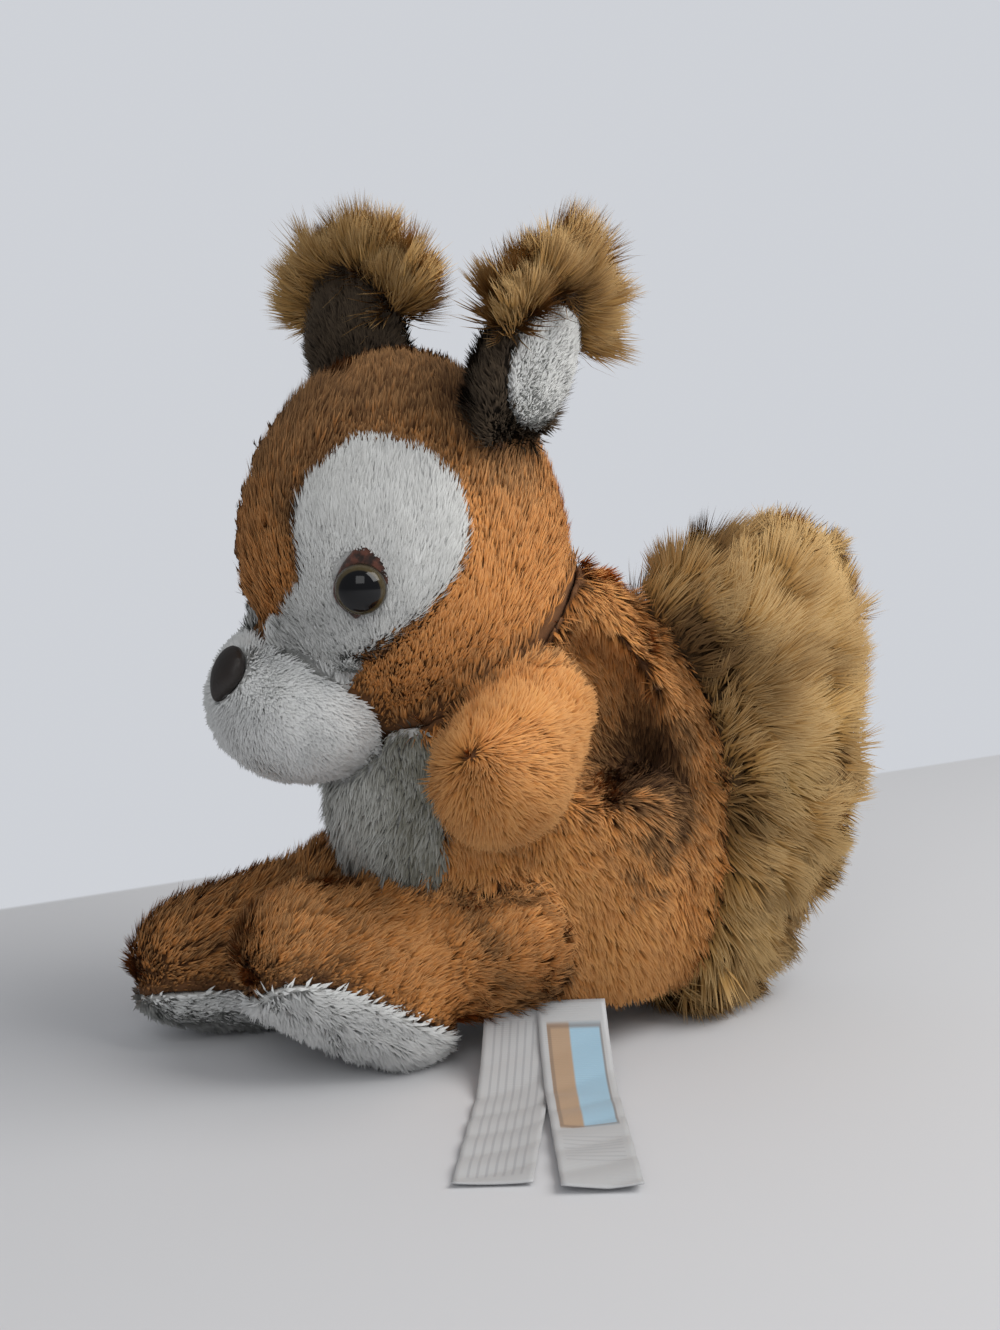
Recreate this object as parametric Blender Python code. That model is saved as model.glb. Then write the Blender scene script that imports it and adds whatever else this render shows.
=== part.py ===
"""Plush squirrel hand puppet, sitting up, with its labels trailing out at its left side.

Metres, +Z up. The squirrel faces -Y and its left side is +X. The floor is Z = 0.
Every soft piece is a closed solid of its stuffed outer shape, fur included.
"""

import math

import bmesh
import bpy
import numpy as np
from mathutils import Euler, Matrix, Vector

# Clearance that touching pieces keep, the limit of a grown corner's extra reach, and the
# angle and length below which a Boolean's leftover edges are merged.
GAP = 0.0003
SHARPEST = 2.0
FLATTEST = math.radians(0.5)
MERGED = 0.000002

# How far a panel's region reaches through a skin, how square its filled-out ovals are,
# where along a rounded end its rings lie, and how far a piece is pressed into the floor.
REGION_REACH = 0.040
OVAL_FILL = 0.6
END_STEPS = (0.42, 0.74, 0.94)
FLOOR_PRESS = 0.0012

# Head: an egg-shaped ball that lolls on the slack body.
HEAD_WIDTH = 0.118
HEAD_DEPTH = 0.124
HEAD_HEIGHT = 0.144
HEAD_FORWARD = 0.013
NECK_HEIGHT = 0.105
HEAD_NOD = math.radians(12)
HEAD_TILT = math.radians(9)
HEAD_TURN = math.radians(20)

# Muzzle: a smaller ball sewn over the lower face.
MUZZLE_WIDTH = 0.074
MUZZLE_DEPTH = 0.066
MUZZLE_HEIGHT = 0.058
MUZZLE_DROP = 0.038
MUZZLE_OUT = 0.049

# Plastic nose and eyes, each on a stem locked by a washer inside the face.
NOSE_WIDTH = 0.020
NOSE_HEIGHT = 0.021
NOSE_THICKNESS = 0.011
NOSE_TAPER = 0.22
NOSE_RISE = math.radians(34)
EYE_DIAMETER = 0.018
EYE_DOME = 0.0065
EYE_RIM = 0.0020
EYE_SINK = 0.0015
EYE_ASIDE = math.radians(47)
EYE_RISE = math.radians(10)
STEM_DIAMETER = 0.0034
STEM_LENGTH = 0.013
WASHER_DIAMETER = 0.014
WASHER_THICKNESS = 0.0020
WASHER_DEPTH = 0.0075

# White panel round each eye: corners of its seam, back and up from the eye.
PATCH_DEPTH = 0.004
PATCH_CORNERS = [
    (-0.003, 0.042),
    (0.012, 0.042),
    (0.029, 0.031),
    (0.035, 0.010),
    (0.025, -0.008),
    (0.008, -0.020),
    (-0.014, -0.030),
    (-0.033, -0.027),
    (-0.029, -0.010),
    (-0.021, 0.001),
    (-0.020, 0.026),
]

# Ears: thick leaves with a white lining, edged with long hair.
EAR_LENGTH = 0.053
EAR_WIDTH = 0.053
EAR_TAPER = 0.30
EAR_BACK_SHARE = 0.42
EAR_THICKNESS = 0.034
EAR_RISE = math.radians(42)
EAR_BEHIND = {"left": math.radians(34), "right": math.radians(22)}
EAR_TURN = {"left": math.radians(25), "right": math.radians(76)}
EAR_SPLAY = math.radians(8)
EAR_LEAN = {"left": math.radians(26), "right": math.radians(6)}
EAR_ROOT = 0.012
LINING_WIDTH = 0.041
LINING_LENGTH = 0.040
LINING_DEPTH = 0.003
LINING_LOW = 0.002
TUFT_DIAMETER = 0.017
TUFT_OUT = 0.003
TUFT_START = 0.034
TUFT_TAPER = 0.22
TUFT_FLATNESS = 0.84
TUFT_SWEEP = (math.radians(12), math.radians(168))
TUFT_CAP = 0.008

# Body: a slack plush glove. Its sections run from the floor up, as shares of its
# height, its front and back reach and its half width.
BODY_HEIGHT = 0.176
BODY_FRONT = 0.048
BODY_BACK = 0.104
BODY_WIDTH = 0.102
BODY_SECTIONS = [
    (0.05, 0.16, 0.66, 0.64),
    (0.16, 0.44, 0.88, 0.90),
    (0.31, 0.66, 0.99, 1.00),
    (0.48, 0.92, 1.00, 0.98),
    (0.63, 1.00, 0.95, 0.92),
    (0.77, 0.86, 0.82, 0.84),
    (0.90, 0.55, 0.66, 0.66),
]
BODY_BASE = 0.016
BODY_END = 0.016

# The side of the empty glove caves in between the arm and a thick padded rim.
RIM_WIDTH = 0.025
CAVE_DEPTH = 0.026
CAVE_SILL = 0.094
CAVE_TOP = 0.150
CAVE_FRONT = 0.030
CAVE_EASE = 0.010
CREASE_DEPTH = 0.006
CREASE_WIDTH = 0.007
CREASE_FOOT = 0.045
CAVE_SIDE = (0.25, 0.60)

# White bib on the chest. Its region starts inside the body and reaches out in front.
BIB_WIDTH = 0.084
BIB_BOTTOM = 0.048
BIB_TOP = 0.128
BIB_BACK = 0.012
BIB_DEPTH = 0.004
BIB_REACH = 0.090

# Hand pocket, open under the body, with a finger pocket on into the head. It narrows from
# its waist to the neck and from the neck to the fingertip.
POCKET_WIDTH = 0.048
POCKET_LENGTH = 0.050
POCKET_HEIGHT = 0.112
POCKET_BACK = 0.027
POCKET_BELOW = 0.012
POCKET_CAP = 0.004
POCKET_WAIST = (0.72, 0.92)
POCKET_STRAIGHT = 0.35
FINGER_DIAMETER = 0.030
FINGER_RISE = 0.078
FINGER_NECK = 1.1
FINGER_TIP = 0.9
CLOTH = 0.0012

# Arms: round stumps that point out and down.
ARM_DIAMETER = 0.044
ARM_SHOULDER = (0.034, 0.025, 0.125)
ARM_PAW = (0.066, 0.003, 0.106)
ARM_TAPER = 0.94
ARM_ROOT = 0.013
ARM_TIP = 0.020

# Legs: plump thighs and long feet with white soles, the right one reaching further.
LEG_SPREAD = 0.026
THIGH_WIDTH = 0.054
THIGH_HEIGHT = 0.062
THIGH_CAP = 0.014
HIP_BACK = 0.020
HIP_HEIGHT = 0.050
FOOT_WIDTH = 0.049
HEEL_HEIGHT = 0.066
FOOT_HEIGHT = 0.061
TOE_HEIGHT = 0.051
FOOT_LENGTH = 0.100
HEEL_LENGTH = 0.022
SHIN_WIDTH = 0.044
SHIN_HEIGHT = 0.064
SHIN_RISE = 0.010
HIP_SPREAD = 0.004
FOOT_REACH = {"left": 0.084, "right": 0.122}
FOOT_PITCH = {"left": math.radians(19), "right": math.radians(-3)}
SOLE_DROP = 0.037
SOLE_LENGTH = 0.080
SOLE_HEIGHT = 0.057
SOLE_FORWARD = 0.009
SOLE_TILT = math.radians(10)

# Tail: a long bushy plume that stands up behind the back.
TAIL_WIDTH = 0.066
TAIL_PATH = [(0.090, 0.028), (0.111, 0.060), (0.121, 0.103), (0.115, 0.147)]
TAIL_THICKNESS = [0.066, 0.075, 0.080, 0.092]
TAIL_EVENNESS = 0.8
TAIL_ROOT = 0.026
TAIL_END = 0.038

# Labels: two satin strips sewn into the seam under the left hip.
LABEL_WIDTH = 0.024
LABEL_THICKNESS = 0.0004
LABEL_HEIGHT = 0.020
LABEL_FALL = 0.036
CARE_LENGTH = 0.098
NAME_LENGTH = 0.104
LABEL_PLACE = 0.022
LABEL_APART = 0.018
LABEL_LIFT = 0.0014
LABEL_TURN = math.radians(-14)
LABEL_FAN = 0.07
LABEL_SEAM = 0.041
LABEL_BEND = (0.45, 0.56)
LABEL_STEPS = 18

COLOURS = {
    "brown_plush": ((0.40, 0.17, 0.065), 0.95),
    "white_plush": ((0.78, 0.78, 0.77), 0.95),
    "tail_plush": ((0.33, 0.19, 0.075), 0.95),
    "dark_plush": ((0.07, 0.036, 0.020), 0.95),
    "eye_plastic": ((0.012, 0.009, 0.007), 0.08),
    "nose_plastic": ((0.028, 0.017, 0.013), 0.25),
    "washer_plastic": ((0.70, 0.70, 0.68), 0.40),
    "lining_cloth": ((0.55, 0.53, 0.48), 0.90),
    "label_satin": ((0.80, 0.80, 0.79), 0.50),
}


def clear_scene():
    for item in list(bpy.data.objects):
        bpy.data.objects.remove(item, do_unlink=True)


def material(slot):
    found = bpy.data.materials.get(slot)
    if found:
        return found
    colour, roughness = COLOURS[slot]
    made = bpy.data.materials.new(slot)
    made.use_nodes = True
    shader = made.node_tree.nodes["Principled BSDF"]
    shader.inputs["Base Color"].default_value = (*colour, 1.0)
    shader.inputs["Roughness"].default_value = roughness
    shader.inputs["Metallic"].default_value = 0.0
    return made


def add(name, mesh, slot, parent):
    """A named sub-part with its own material, placed under its parent."""
    made = bpy.data.objects.new(name, mesh)
    bpy.context.scene.collection.objects.link(made)
    made.parent = parent
    mesh.materials.clear()
    mesh.materials.append(material(slot))
    mesh.shade_smooth()
    return made


def guide(name, mesh, parent):
    """A cutter: it shapes other pieces and is no piece itself."""
    made = bpy.data.objects.new(name, mesh)
    bpy.context.scene.collection.objects.link(made)
    made.parent = parent
    made.hide_render = True
    made.display_type = "WIRE"
    return made


def drop(*guides):
    for item in guides:
        bpy.data.objects.remove(item, do_unlink=True)


def copy_of(item):
    made = guide(item.name + "_copy", item.data.copy(), item.parent)
    made.matrix_basis = item.matrix_basis
    return made


def grown(item, by):
    """A cutter of the same form, with its skin moved out by a distance."""
    tool = copy_of(item)
    skin = bmesh.new()
    skin.from_mesh(tool.data)
    skin.normal_update()
    moves = [vert.normal * (by * min(vert.calc_shell_factor(), SHARPEST)) for vert in skin.verts]
    for vert, move in zip(skin.verts, moves):
        vert.co += move
    skin.to_mesh(tool.data)
    skin.free()
    return tool


def combine(item, tool, operation):
    """Applies a Boolean with another object to this one's own mesh."""
    step = item.modifiers.new(operation.lower(), "BOOLEAN")
    step.operation = operation
    step.solver = "EXACT"
    step.object = tool
    bpy.context.view_layer.update()
    seen = item.evaluated_get(bpy.context.evaluated_depsgraph_get())
    made = bpy.data.meshes.new_from_object(seen)
    item.modifiers.clear()
    item.data = made
    tidy = bmesh.new()
    tidy.from_mesh(made)
    bmesh.ops.dissolve_degenerate(tidy, edges=tidy.edges, dist=MERGED)
    bmesh.ops.dissolve_limit(tidy, angle_limit=FLATTEST, verts=tidy.verts, edges=tidy.edges)
    bmesh.ops.triangulate(tidy, faces=tidy.faces)
    tidy.to_mesh(made)
    tidy.free()


def cut(item, tool):
    combine(item, tool, "DIFFERENCE")


def seat(item, *carriers):
    """Trims a piece to rest on its carriers with the gap that touching pieces keep."""
    for carrier in carriers:
        tool = grown(carrier, GAP)
        cut(item, tool)
        drop(tool)


def inlay(name, form, region, depth, slot):
    """Parts a panel off a form where a region covers it, down to a depth."""
    core = grown(form, -depth)
    panel = add(name, form.data.copy(), slot, form.parent)
    panel.matrix_basis = form.matrix_basis
    combine(panel, region, "INTERSECT")
    seat(panel, core)
    recess = grown(region, GAP)
    cut(recess, core)
    cut(form, recess)
    drop(core, recess)
    return panel


def flatten(item, height=0.0):
    """Cuts off what hangs below a height, by default the floor, with a flat face."""
    skin = bmesh.new()
    skin.from_mesh(item.data)
    bpy.context.view_layer.update()
    to_world = item.matrix_world.copy()
    skin.transform(to_world)
    everything = skin.verts[:] + skin.edges[:] + skin.faces[:]
    bmesh.ops.bisect_plane(
        skin, geom=everything, plane_co=(0, 0, height), plane_no=(0, 0, 1), clear_inner=True
    )
    rim = [edge for edge in skin.edges if edge.is_boundary]
    if rim:
        bmesh.ops.triangle_fill(skin, edges=rim, use_beauty=True, normal=(0, 0, -1))
        bmesh.ops.recalc_face_normals(skin, faces=skin.faces)
    skin.transform(to_world.inverted())
    skin.to_mesh(item.data)
    skin.free()


def smooth_through(rows, count, closed=False):
    """Points on a smooth curve through the rows, spaced evenly between them."""
    rows = np.array(rows, float)
    last = len(rows) if closed else len(rows) - 1
    made = []
    for at in np.linspace(0, last, count, endpoint=not closed):
        start = min(int(at), last - 1)
        part = at - start
        if closed:
            a, b, c, d = (rows[(start + k) % len(rows)] for k in (-1, 0, 1, 2))
        else:
            b, c = rows[start], rows[start + 1]
            a = rows[start - 1] if start else 2 * b - c
            d = rows[start + 2] if start + 2 < len(rows) else 2 * c - b
        slope_b, slope_c = (c - a) / 2, (d - b) / 2
        made.append(
            b * (2 * part**3 - 3 * part**2 + 1)
            + slope_b * (part**3 - 2 * part**2 + part)
            + c * (3 * part**2 - 2 * part**3)
            + slope_c * (part**3 - part**2)
        )
    return np.array(made)


def skin_of_rings(name, rings, start, end):
    """A closed mesh through rings of points, with a point at each end."""
    sides = len(rings[0])
    points = [point for ring in rings for point in ring] + [start, end]
    faces = []
    for ring in range(len(rings) - 1):
        for side in range(sides):
            after = (side + 1) % sides
            low, high = ring * sides, (ring + 1) * sides
            faces.append((low + side, low + after, high + after, high + side))
    first, last = len(points) - 2, len(points) - 1
    top = (len(rings) - 1) * sides
    for side in range(sides):
        after = (side + 1) % sides
        faces.append((first, after, side))
        faces.append((last, top + side, top + after))
    mesh = bpy.data.meshes.new(name)
    mesh.from_pydata([tuple(point) for point in points], [], faces)
    skin = bmesh.new()
    skin.from_mesh(mesh)
    bmesh.ops.recalc_face_normals(skin, faces=skin.faces)
    bmesh.ops.triangulate(skin, faces=skin.faces)
    skin.to_mesh(mesh)
    skin.free()
    return mesh


def stuffed_tube(name, rows, blunt, stations=12, sides=24, across=(1, 0, 0)):
    """A stuffed tube along a smooth path. Each row is x, y, z and the tube's half
    width and half height there; blunt gives how far each rounded end reaches."""
    path = smooth_through(rows, stations)
    across = Vector(across)
    rings = []
    turns = np.linspace(0, 2 * math.pi, sides, endpoint=False)
    ends = []

    def ring(centre, along, half_width, half_height):
        side = (across - along * across.dot(along)).normalized()
        up = along.cross(side)
        return [
            centre + side * (half_width * math.cos(turn)) + up * (half_height * math.sin(turn))
            for turn in turns
        ]

    bends = np.gradient(path[:, :3], axis=0)
    for end, reach in ((0, blunt[0]), (-1, blunt[1])):
        along = Vector(bends[end]).normalized()
        outward = -along if end == 0 else along
        centre = Vector(path[end][:3])
        half_width, half_height = path[end][3:5]
        cap = []
        for step in END_STEPS:
            shrink = math.sqrt(1 - step * step)
            middle = centre + outward * (reach * step)
            cap.append(ring(middle, along, half_width * shrink, half_height * shrink))
        ends.append((cap, centre + outward * reach))
    rings += ends[0][0][::-1]
    for point, bend in zip(path, bends):
        rings.append(ring(Vector(point[:3]), Vector(bend).normalized(), point[3], point[4]))
    rings += ends[1][0]
    return skin_of_rings(name, rings, ends[0][1], ends[1][1])


def ball(name, width, depth, height, rings=12, sides=20):
    """A ball squeezed to its three sizes."""
    mesh = bpy.data.meshes.new(name)
    skin = bmesh.new()
    bmesh.ops.create_uvsphere(skin, u_segments=sides, v_segments=rings, radius=0.5)
    bmesh.ops.scale(skin, vec=(width, depth, height), verts=skin.verts)
    bmesh.ops.triangulate(skin, faces=skin.faces)
    skin.to_mesh(mesh)
    skin.free()
    return mesh


def turned(name, profile, sides=14):
    """A solid turned about Z from a profile of radius and height, bottom to top."""
    turns = np.linspace(0, 2 * math.pi, sides, endpoint=False)
    rings = [
        [Vector((radius * math.cos(turn), radius * math.sin(turn), height)) for turn in turns]
        for radius, height in profile[1:-1]
    ]
    return skin_of_rings(name, rings, Vector((0, 0, profile[0][1])), Vector((0, 0, profile[-1][1])))


def prism(name, outline, low, high):
    """An outline in X and Y, made solid from one height to another."""
    rings = [[Vector((x, y, height)) for x, y in outline] for height in (low, high)]
    middle = np.mean(outline, axis=0)
    return skin_of_rings(name, rings, Vector((*middle, low)), Vector((*middle, high)))


def oval(width, length, sides=28, squareness=1.0):
    """The outline of an oval; squareness below 1 fills its corners out."""
    made = []
    for turn in np.linspace(0, 2 * math.pi, sides, endpoint=False):
        x, y = math.cos(turn), math.sin(turn)
        made.append(
            (
                math.copysign(abs(x) ** squareness, x) * width / 2,
                math.copysign(abs(y) ** squareness, y) * length / 2,
            )
        )
    return made


def facing(normal, up=(0, 0, 1)):
    """A rotation whose Z is the normal and whose Y is as near to up as it can be."""
    z = Vector(normal).normalized()
    x = Vector(up).cross(z).normalized()
    return Matrix((x, z.cross(x), z)).transposed().to_4x4()


def direction(aside, rise):
    """A direction from the head's middle: turned aside from the front, and raised."""
    flat = math.cos(rise)
    return Vector((math.sin(aside) * flat, -math.cos(aside) * flat, math.sin(rise)))


def surface(item, ray):
    """Where a ray from the item's own middle leaves its skin, and the normal there."""
    hit, place, normal, _ = item.ray_cast(ray * 10 * max(item.dimensions), -ray)
    if not hit:
        raise ValueError(f"{item.name} has no skin in that direction")
    return place, normal


def ease(value, low, high):
    """0 below low, 1 above high and a smooth rise between."""
    part = np.clip((value - low) / (high - low), 0, 1)
    return part * part * (3 - 2 * part)


def washer(name, parent, frame):
    """A ring locked on a stem, under the cloth."""
    disc = turned(
        name,
        [
            (0, 0),
            (WASHER_DIAMETER / 2, 0),
            (WASHER_DIAMETER / 2, WASHER_THICKNESS),
            (0, WASHER_THICKNESS),
        ],
    )
    made = add(name, disc, "washer_plastic", parent)
    made.matrix_basis = frame @ Matrix.Translation((0, 0, -WASHER_DEPTH - WASHER_THICKNESS))
    hole = turned(
        name + "_hole",
        [
            (0, -WASHER_THICKNESS),
            (STEM_DIAMETER / 2 + GAP, -WASHER_THICKNESS),
            (STEM_DIAMETER / 2 + GAP, 2 * WASHER_THICKNESS),
            (0, 2 * WASHER_THICKNESS),
        ],
    )
    tool = guide(name + "_hole", hole, parent)
    tool.matrix_basis = made.matrix_basis
    cut(made, tool)
    drop(tool)
    return made


def stem_pocket(item, frame):
    """Opens a piece for a washer that lies inside it."""
    room = [
        (0, -GAP),
        (WASHER_DIAMETER / 2 + GAP, -GAP),
        (WASHER_DIAMETER / 2 + GAP, WASHER_THICKNESS + GAP),
        (0, WASHER_THICKNESS + GAP),
    ]
    tool = guide("washer_room", turned("washer_room", room), item.parent)
    tool.matrix_basis = frame @ Matrix.Translation((0, 0, -WASHER_DEPTH - WASHER_THICKNESS))
    cut(item, tool)
    drop(tool)


def head_form(parent):
    mesh = ball("head", HEAD_WIDTH, HEAD_DEPTH, HEAD_HEIGHT, rings=18, sides=28)
    return add("head", mesh, "brown_plush", parent)


def muzzle_form(parent):
    mesh = ball("muzzle", MUZZLE_WIDTH, MUZZLE_DEPTH, MUZZLE_HEIGHT)
    made = add("muzzle", mesh, "white_plush", parent)
    made.location = (0, -MUZZLE_OUT, -MUZZLE_DROP)
    return made


def eye_patch(side, head, place):
    """The white panel round an eye, parted off the head."""
    way = 1 if side == "left" else -1
    seam = smooth_through([(way * back, up) for back, up in PATCH_CORNERS], 33, closed=True)
    region = guide("patch_region", prism("patch_region", seam, -REGION_REACH, REGION_REACH), head.parent)
    region.matrix_basis = place
    panel = inlay(f"eye_patch_{side}", head, region, PATCH_DEPTH, "white_plush")
    drop(region)
    return panel


def eye(side, head, panel, place):
    """A domed plastic eye, its stem through the panel and a washer on the stem."""
    dome = [
        (EYE_DIAMETER / 2 * math.cos(turn), EYE_RIM + EYE_DOME * math.sin(turn))
        for turn in np.linspace(0, math.pi / 2, 6)
    ]
    profile = [
        (0, -STEM_LENGTH),
        (STEM_DIAMETER / 2, -STEM_LENGTH),
        (STEM_DIAMETER / 2, 0),
        (EYE_DIAMETER / 2, 0),
        *dome,
    ]
    made = add(f"eye_{side}", turned(f"eye_{side}", profile), "eye_plastic", head.parent)
    made.matrix_basis = place @ Matrix.Translation((0, 0, -EYE_SINK))
    ring = washer(f"eye_washer_{side}", head.parent, made.matrix_basis)
    seat(head, made)
    seat(panel, made)
    stem_pocket(head, made.matrix_basis)
    return made, ring


def nose(muzzle, head):
    """A moulded nose, broad at its top, on a stem through the muzzle."""
    place, normal = surface(muzzle, direction(0, NOSE_RISE))
    spot = muzzle.matrix_basis @ Matrix.Translation(place) @ facing(normal)
    mesh = ball("nose", NOSE_WIDTH, NOSE_HEIGHT, NOSE_THICKNESS, rings=10, sides=18)
    for vert in mesh.vertices:
        vert.co.x *= 1 + NOSE_TAPER * vert.co.y / (NOSE_HEIGHT / 2)
    made = add("nose", mesh, "nose_plastic", muzzle.parent)
    made.matrix_basis = spot
    profile = [
        (0, -STEM_LENGTH),
        (STEM_DIAMETER / 2, -STEM_LENGTH),
        (STEM_DIAMETER / 2, 0),
        (0, 0),
    ]
    stem = guide("nose_stem", turned("nose_stem", profile), muzzle.parent)
    stem.matrix_basis = spot
    combine(made, stem, "UNION")
    drop(stem)
    ring = washer("nose_washer", muzzle.parent, spot)
    seat(muzzle, made)
    stem_pocket(muzzle, spot)
    return made, ring


def ear(side, head):
    """A thick furry leaf, its white lining facing out and back, and its long hair."""
    way = 1 if side == "left" else -1
    aside = way * (math.pi / 2 + EAR_BEHIND[side])
    place, _ = surface(head, direction(aside, EAR_RISE))
    lean = Euler((-EAR_LEAN[side], way * EAR_SPLAY, 0)).to_matrix().to_4x4()
    turn = Matrix.Rotation(math.pi / 2 * way + way * EAR_TURN[side], 4, "Z")
    frame = Matrix.Translation(place) @ lean @ turn

    leaf = ball("ear", EAR_WIDTH, EAR_THICKNESS, EAR_LENGTH + EAR_ROOT, rings=11, sides=16)
    half = (EAR_LENGTH + EAR_ROOT) / 2
    for vert in leaf.vertices:
        high = vert.co.z / half
        vert.co.x *= 1 - EAR_TAPER * max(0.0, high) ** 2
        vert.co.y *= EAR_BACK_SHARE if vert.co.y < 0 else 1.0
        vert.co.z += half - EAR_ROOT
    made = add(f"ear_{side}", leaf, "dark_plush", head.parent)
    made.matrix_basis = frame

    outline = oval(LINING_WIDTH, LINING_LENGTH)
    region = guide("lining_region", prism("lining_region", outline, 0, REGION_REACH), head.parent)
    middle = Matrix.Translation((0, 0, EAR_LENGTH / 2 - LINING_LOW))
    region.matrix_basis = frame @ middle @ Matrix.Rotation(math.pi / 2, 4, "X")
    lining = inlay(f"ear_lining_{side}", made, region, LINING_DEPTH, "white_plush")
    drop(region)

    rows = []
    half_width = TUFT_DIAMETER / 2
    for turn_along in np.linspace(*TUFT_SWEEP, 7):
        across = math.cos(turn_along)
        high = math.sin(turn_along)
        reach = EAR_WIDTH / 2 * (1 - TUFT_TAPER * max(0.0, high)) + TUFT_OUT
        top = TUFT_START + (EAR_LENGTH - TUFT_START + TUFT_OUT) * high
        rows.append((across * reach, 0, top, half_width * TUFT_FLATNESS, half_width))
    caps = (TUFT_CAP, TUFT_CAP)
    mesh = stuffed_tube("tuft", rows, caps, stations=9, sides=10, across=(0, 1, 0))
    tuft = add(f"ear_tuft_{side}", mesh, "tail_plush", head.parent)
    tuft.matrix_basis = frame
    seat(tuft, made, lining)
    return made, lining, tuft


def body_rows():
    """The glove's sections from the floor up: middle, half width and half depth."""
    rows = []
    for high, front, back, wide in BODY_SECTIONS:
        ahead, behind = BODY_FRONT * front, BODY_BACK * back
        middle = (behind - ahead) / 2
        half_depth = (behind + ahead) / 2
        rows.append((0, middle, BODY_HEIGHT * high, BODY_WIDTH / 2 * wide, half_depth))
    return rows


def body_back(height):
    """How far back the body reaches at a height."""
    highs = [BODY_HEIGHT * row[0] for row in BODY_SECTIONS]
    backs = [BODY_BACK * row[2] for row in BODY_SECTIONS]
    return np.interp(height, highs, backs)


def body_form(parent):
    """The slack glove, its sides caved in above the hips."""
    mesh = stuffed_tube("body", body_rows(), (GAP, BODY_END), stations=24, sides=36)
    for vert in mesh.vertices:
        x, y, z = vert.co
        inner = body_back(z) - RIM_WIDTH
        cave = (
            ease(z, CAVE_SILL - CAVE_EASE / 4, CAVE_SILL + CAVE_EASE / 2)
            * (1 - ease(z, CAVE_TOP - CAVE_EASE, CAVE_TOP + CAVE_EASE))
            * ease(y, CAVE_FRONT, CAVE_FRONT + CAVE_EASE)
            * (1 - ease(y, inner - CAVE_EASE, inner + CAVE_EASE / 2))
        )
        above = ease(z, CREASE_FOOT, CREASE_FOOT + CAVE_EASE)
        below = 1 - ease(z, CAVE_SILL, CAVE_SILL + CAVE_EASE)
        crease = math.exp(-(((y - inner) / CREASE_WIDTH) ** 2)) * above * below
        press = CAVE_DEPTH * cave + CREASE_DEPTH * crease
        side_on = ease(abs(x) / (BODY_WIDTH / 2), *CAVE_SIDE)
        vert.co.x = math.copysign(max(abs(x) - press * side_on, 0.0), x)
    return add("body", mesh, "brown_plush", parent)


def pocket_rows(inset):
    """The hand pocket from below the floor up, and the finger pocket above it."""
    half_width = POCKET_WIDTH / 2 - inset
    half_length = POCKET_LENGTH / 2 - inset
    finger = FINGER_DIAMETER / 2 - inset
    neck = finger * FINGER_NECK
    tip = finger * FINGER_TIP
    ahead = -HEAD_FORWARD / 2
    waist, narrow = POCKET_WAIST
    return [
        (0, POCKET_BACK, -POCKET_BELOW, half_width, half_length),
        (0, POCKET_BACK, POCKET_HEIGHT * POCKET_STRAIGHT, half_width, half_length),
        (0, POCKET_BACK, POCKET_HEIGHT * waist, half_width * narrow, half_length * narrow),
        (0, (POCKET_BACK + ahead) / 2, POCKET_HEIGHT, neck, neck),
        (0, ahead, POCKET_HEIGHT + FINGER_RISE / 2, finger, finger),
        (0, ahead, POCKET_HEIGHT + FINGER_RISE, tip, tip),
    ]


def pocket(body, head, root):
    """Opens the body and the head for a hand, and lines the hollow with cloth."""

    def hollow(inset):
        rows = pocket_rows(inset)
        finger = rows[-1][3]
        mesh = stuffed_tube("hollow", rows, (POCKET_CAP, finger), stations=9, sides=14)
        return guide("hollow", mesh, root)

    room = hollow(0)
    cut(body, room)
    cut(head, room)
    drop(room)
    outer = hollow(GAP)
    inner = hollow(GAP + CLOTH)
    lining = add("pocket_lining", outer.data.copy(), "lining_cloth", root)
    cut(lining, inner)
    drop(outer, inner)
    flatten(lining, BODY_BASE)
    return lining


def bib(body):
    """The white chest panel, parted off the body."""
    outline = oval(BIB_WIDTH, BIB_TOP - BIB_BOTTOM, squareness=OVAL_FILL)
    region = guide("bib_region", prism("bib_region", outline, 0, BIB_REACH), body.parent)
    middle = (0, -BIB_BACK, (BIB_TOP + BIB_BOTTOM) / 2)
    region.matrix_basis = Matrix.Translation(middle) @ Matrix.Rotation(math.pi / 2, 4, "X")
    panel = inlay("chest_panel", body, region, BIB_DEPTH, "white_plush")
    drop(region)
    return panel


def arm(side, root):
    """A round stump from the shoulder out to the paw."""
    way = 1 if side == "left" else -1
    half = ARM_DIAMETER / 2
    shoulder, paw = ((way * x, y, z) for x, y, z in (ARM_SHOULDER, ARM_PAW))
    middle = tuple((a + b) / 2 for a, b in zip(shoulder, paw))
    root_half = half * ARM_TAPER
    rows = [(*shoulder, root_half, root_half), (*middle, half, half), (*paw, half, half)]
    name = f"arm_{side}"
    mesh = stuffed_tube(name, rows, (ARM_ROOT, ARM_TIP), stations=4, sides=18, across=(0, 0, 1))
    return add(name, mesh, "brown_plush", root)


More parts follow.
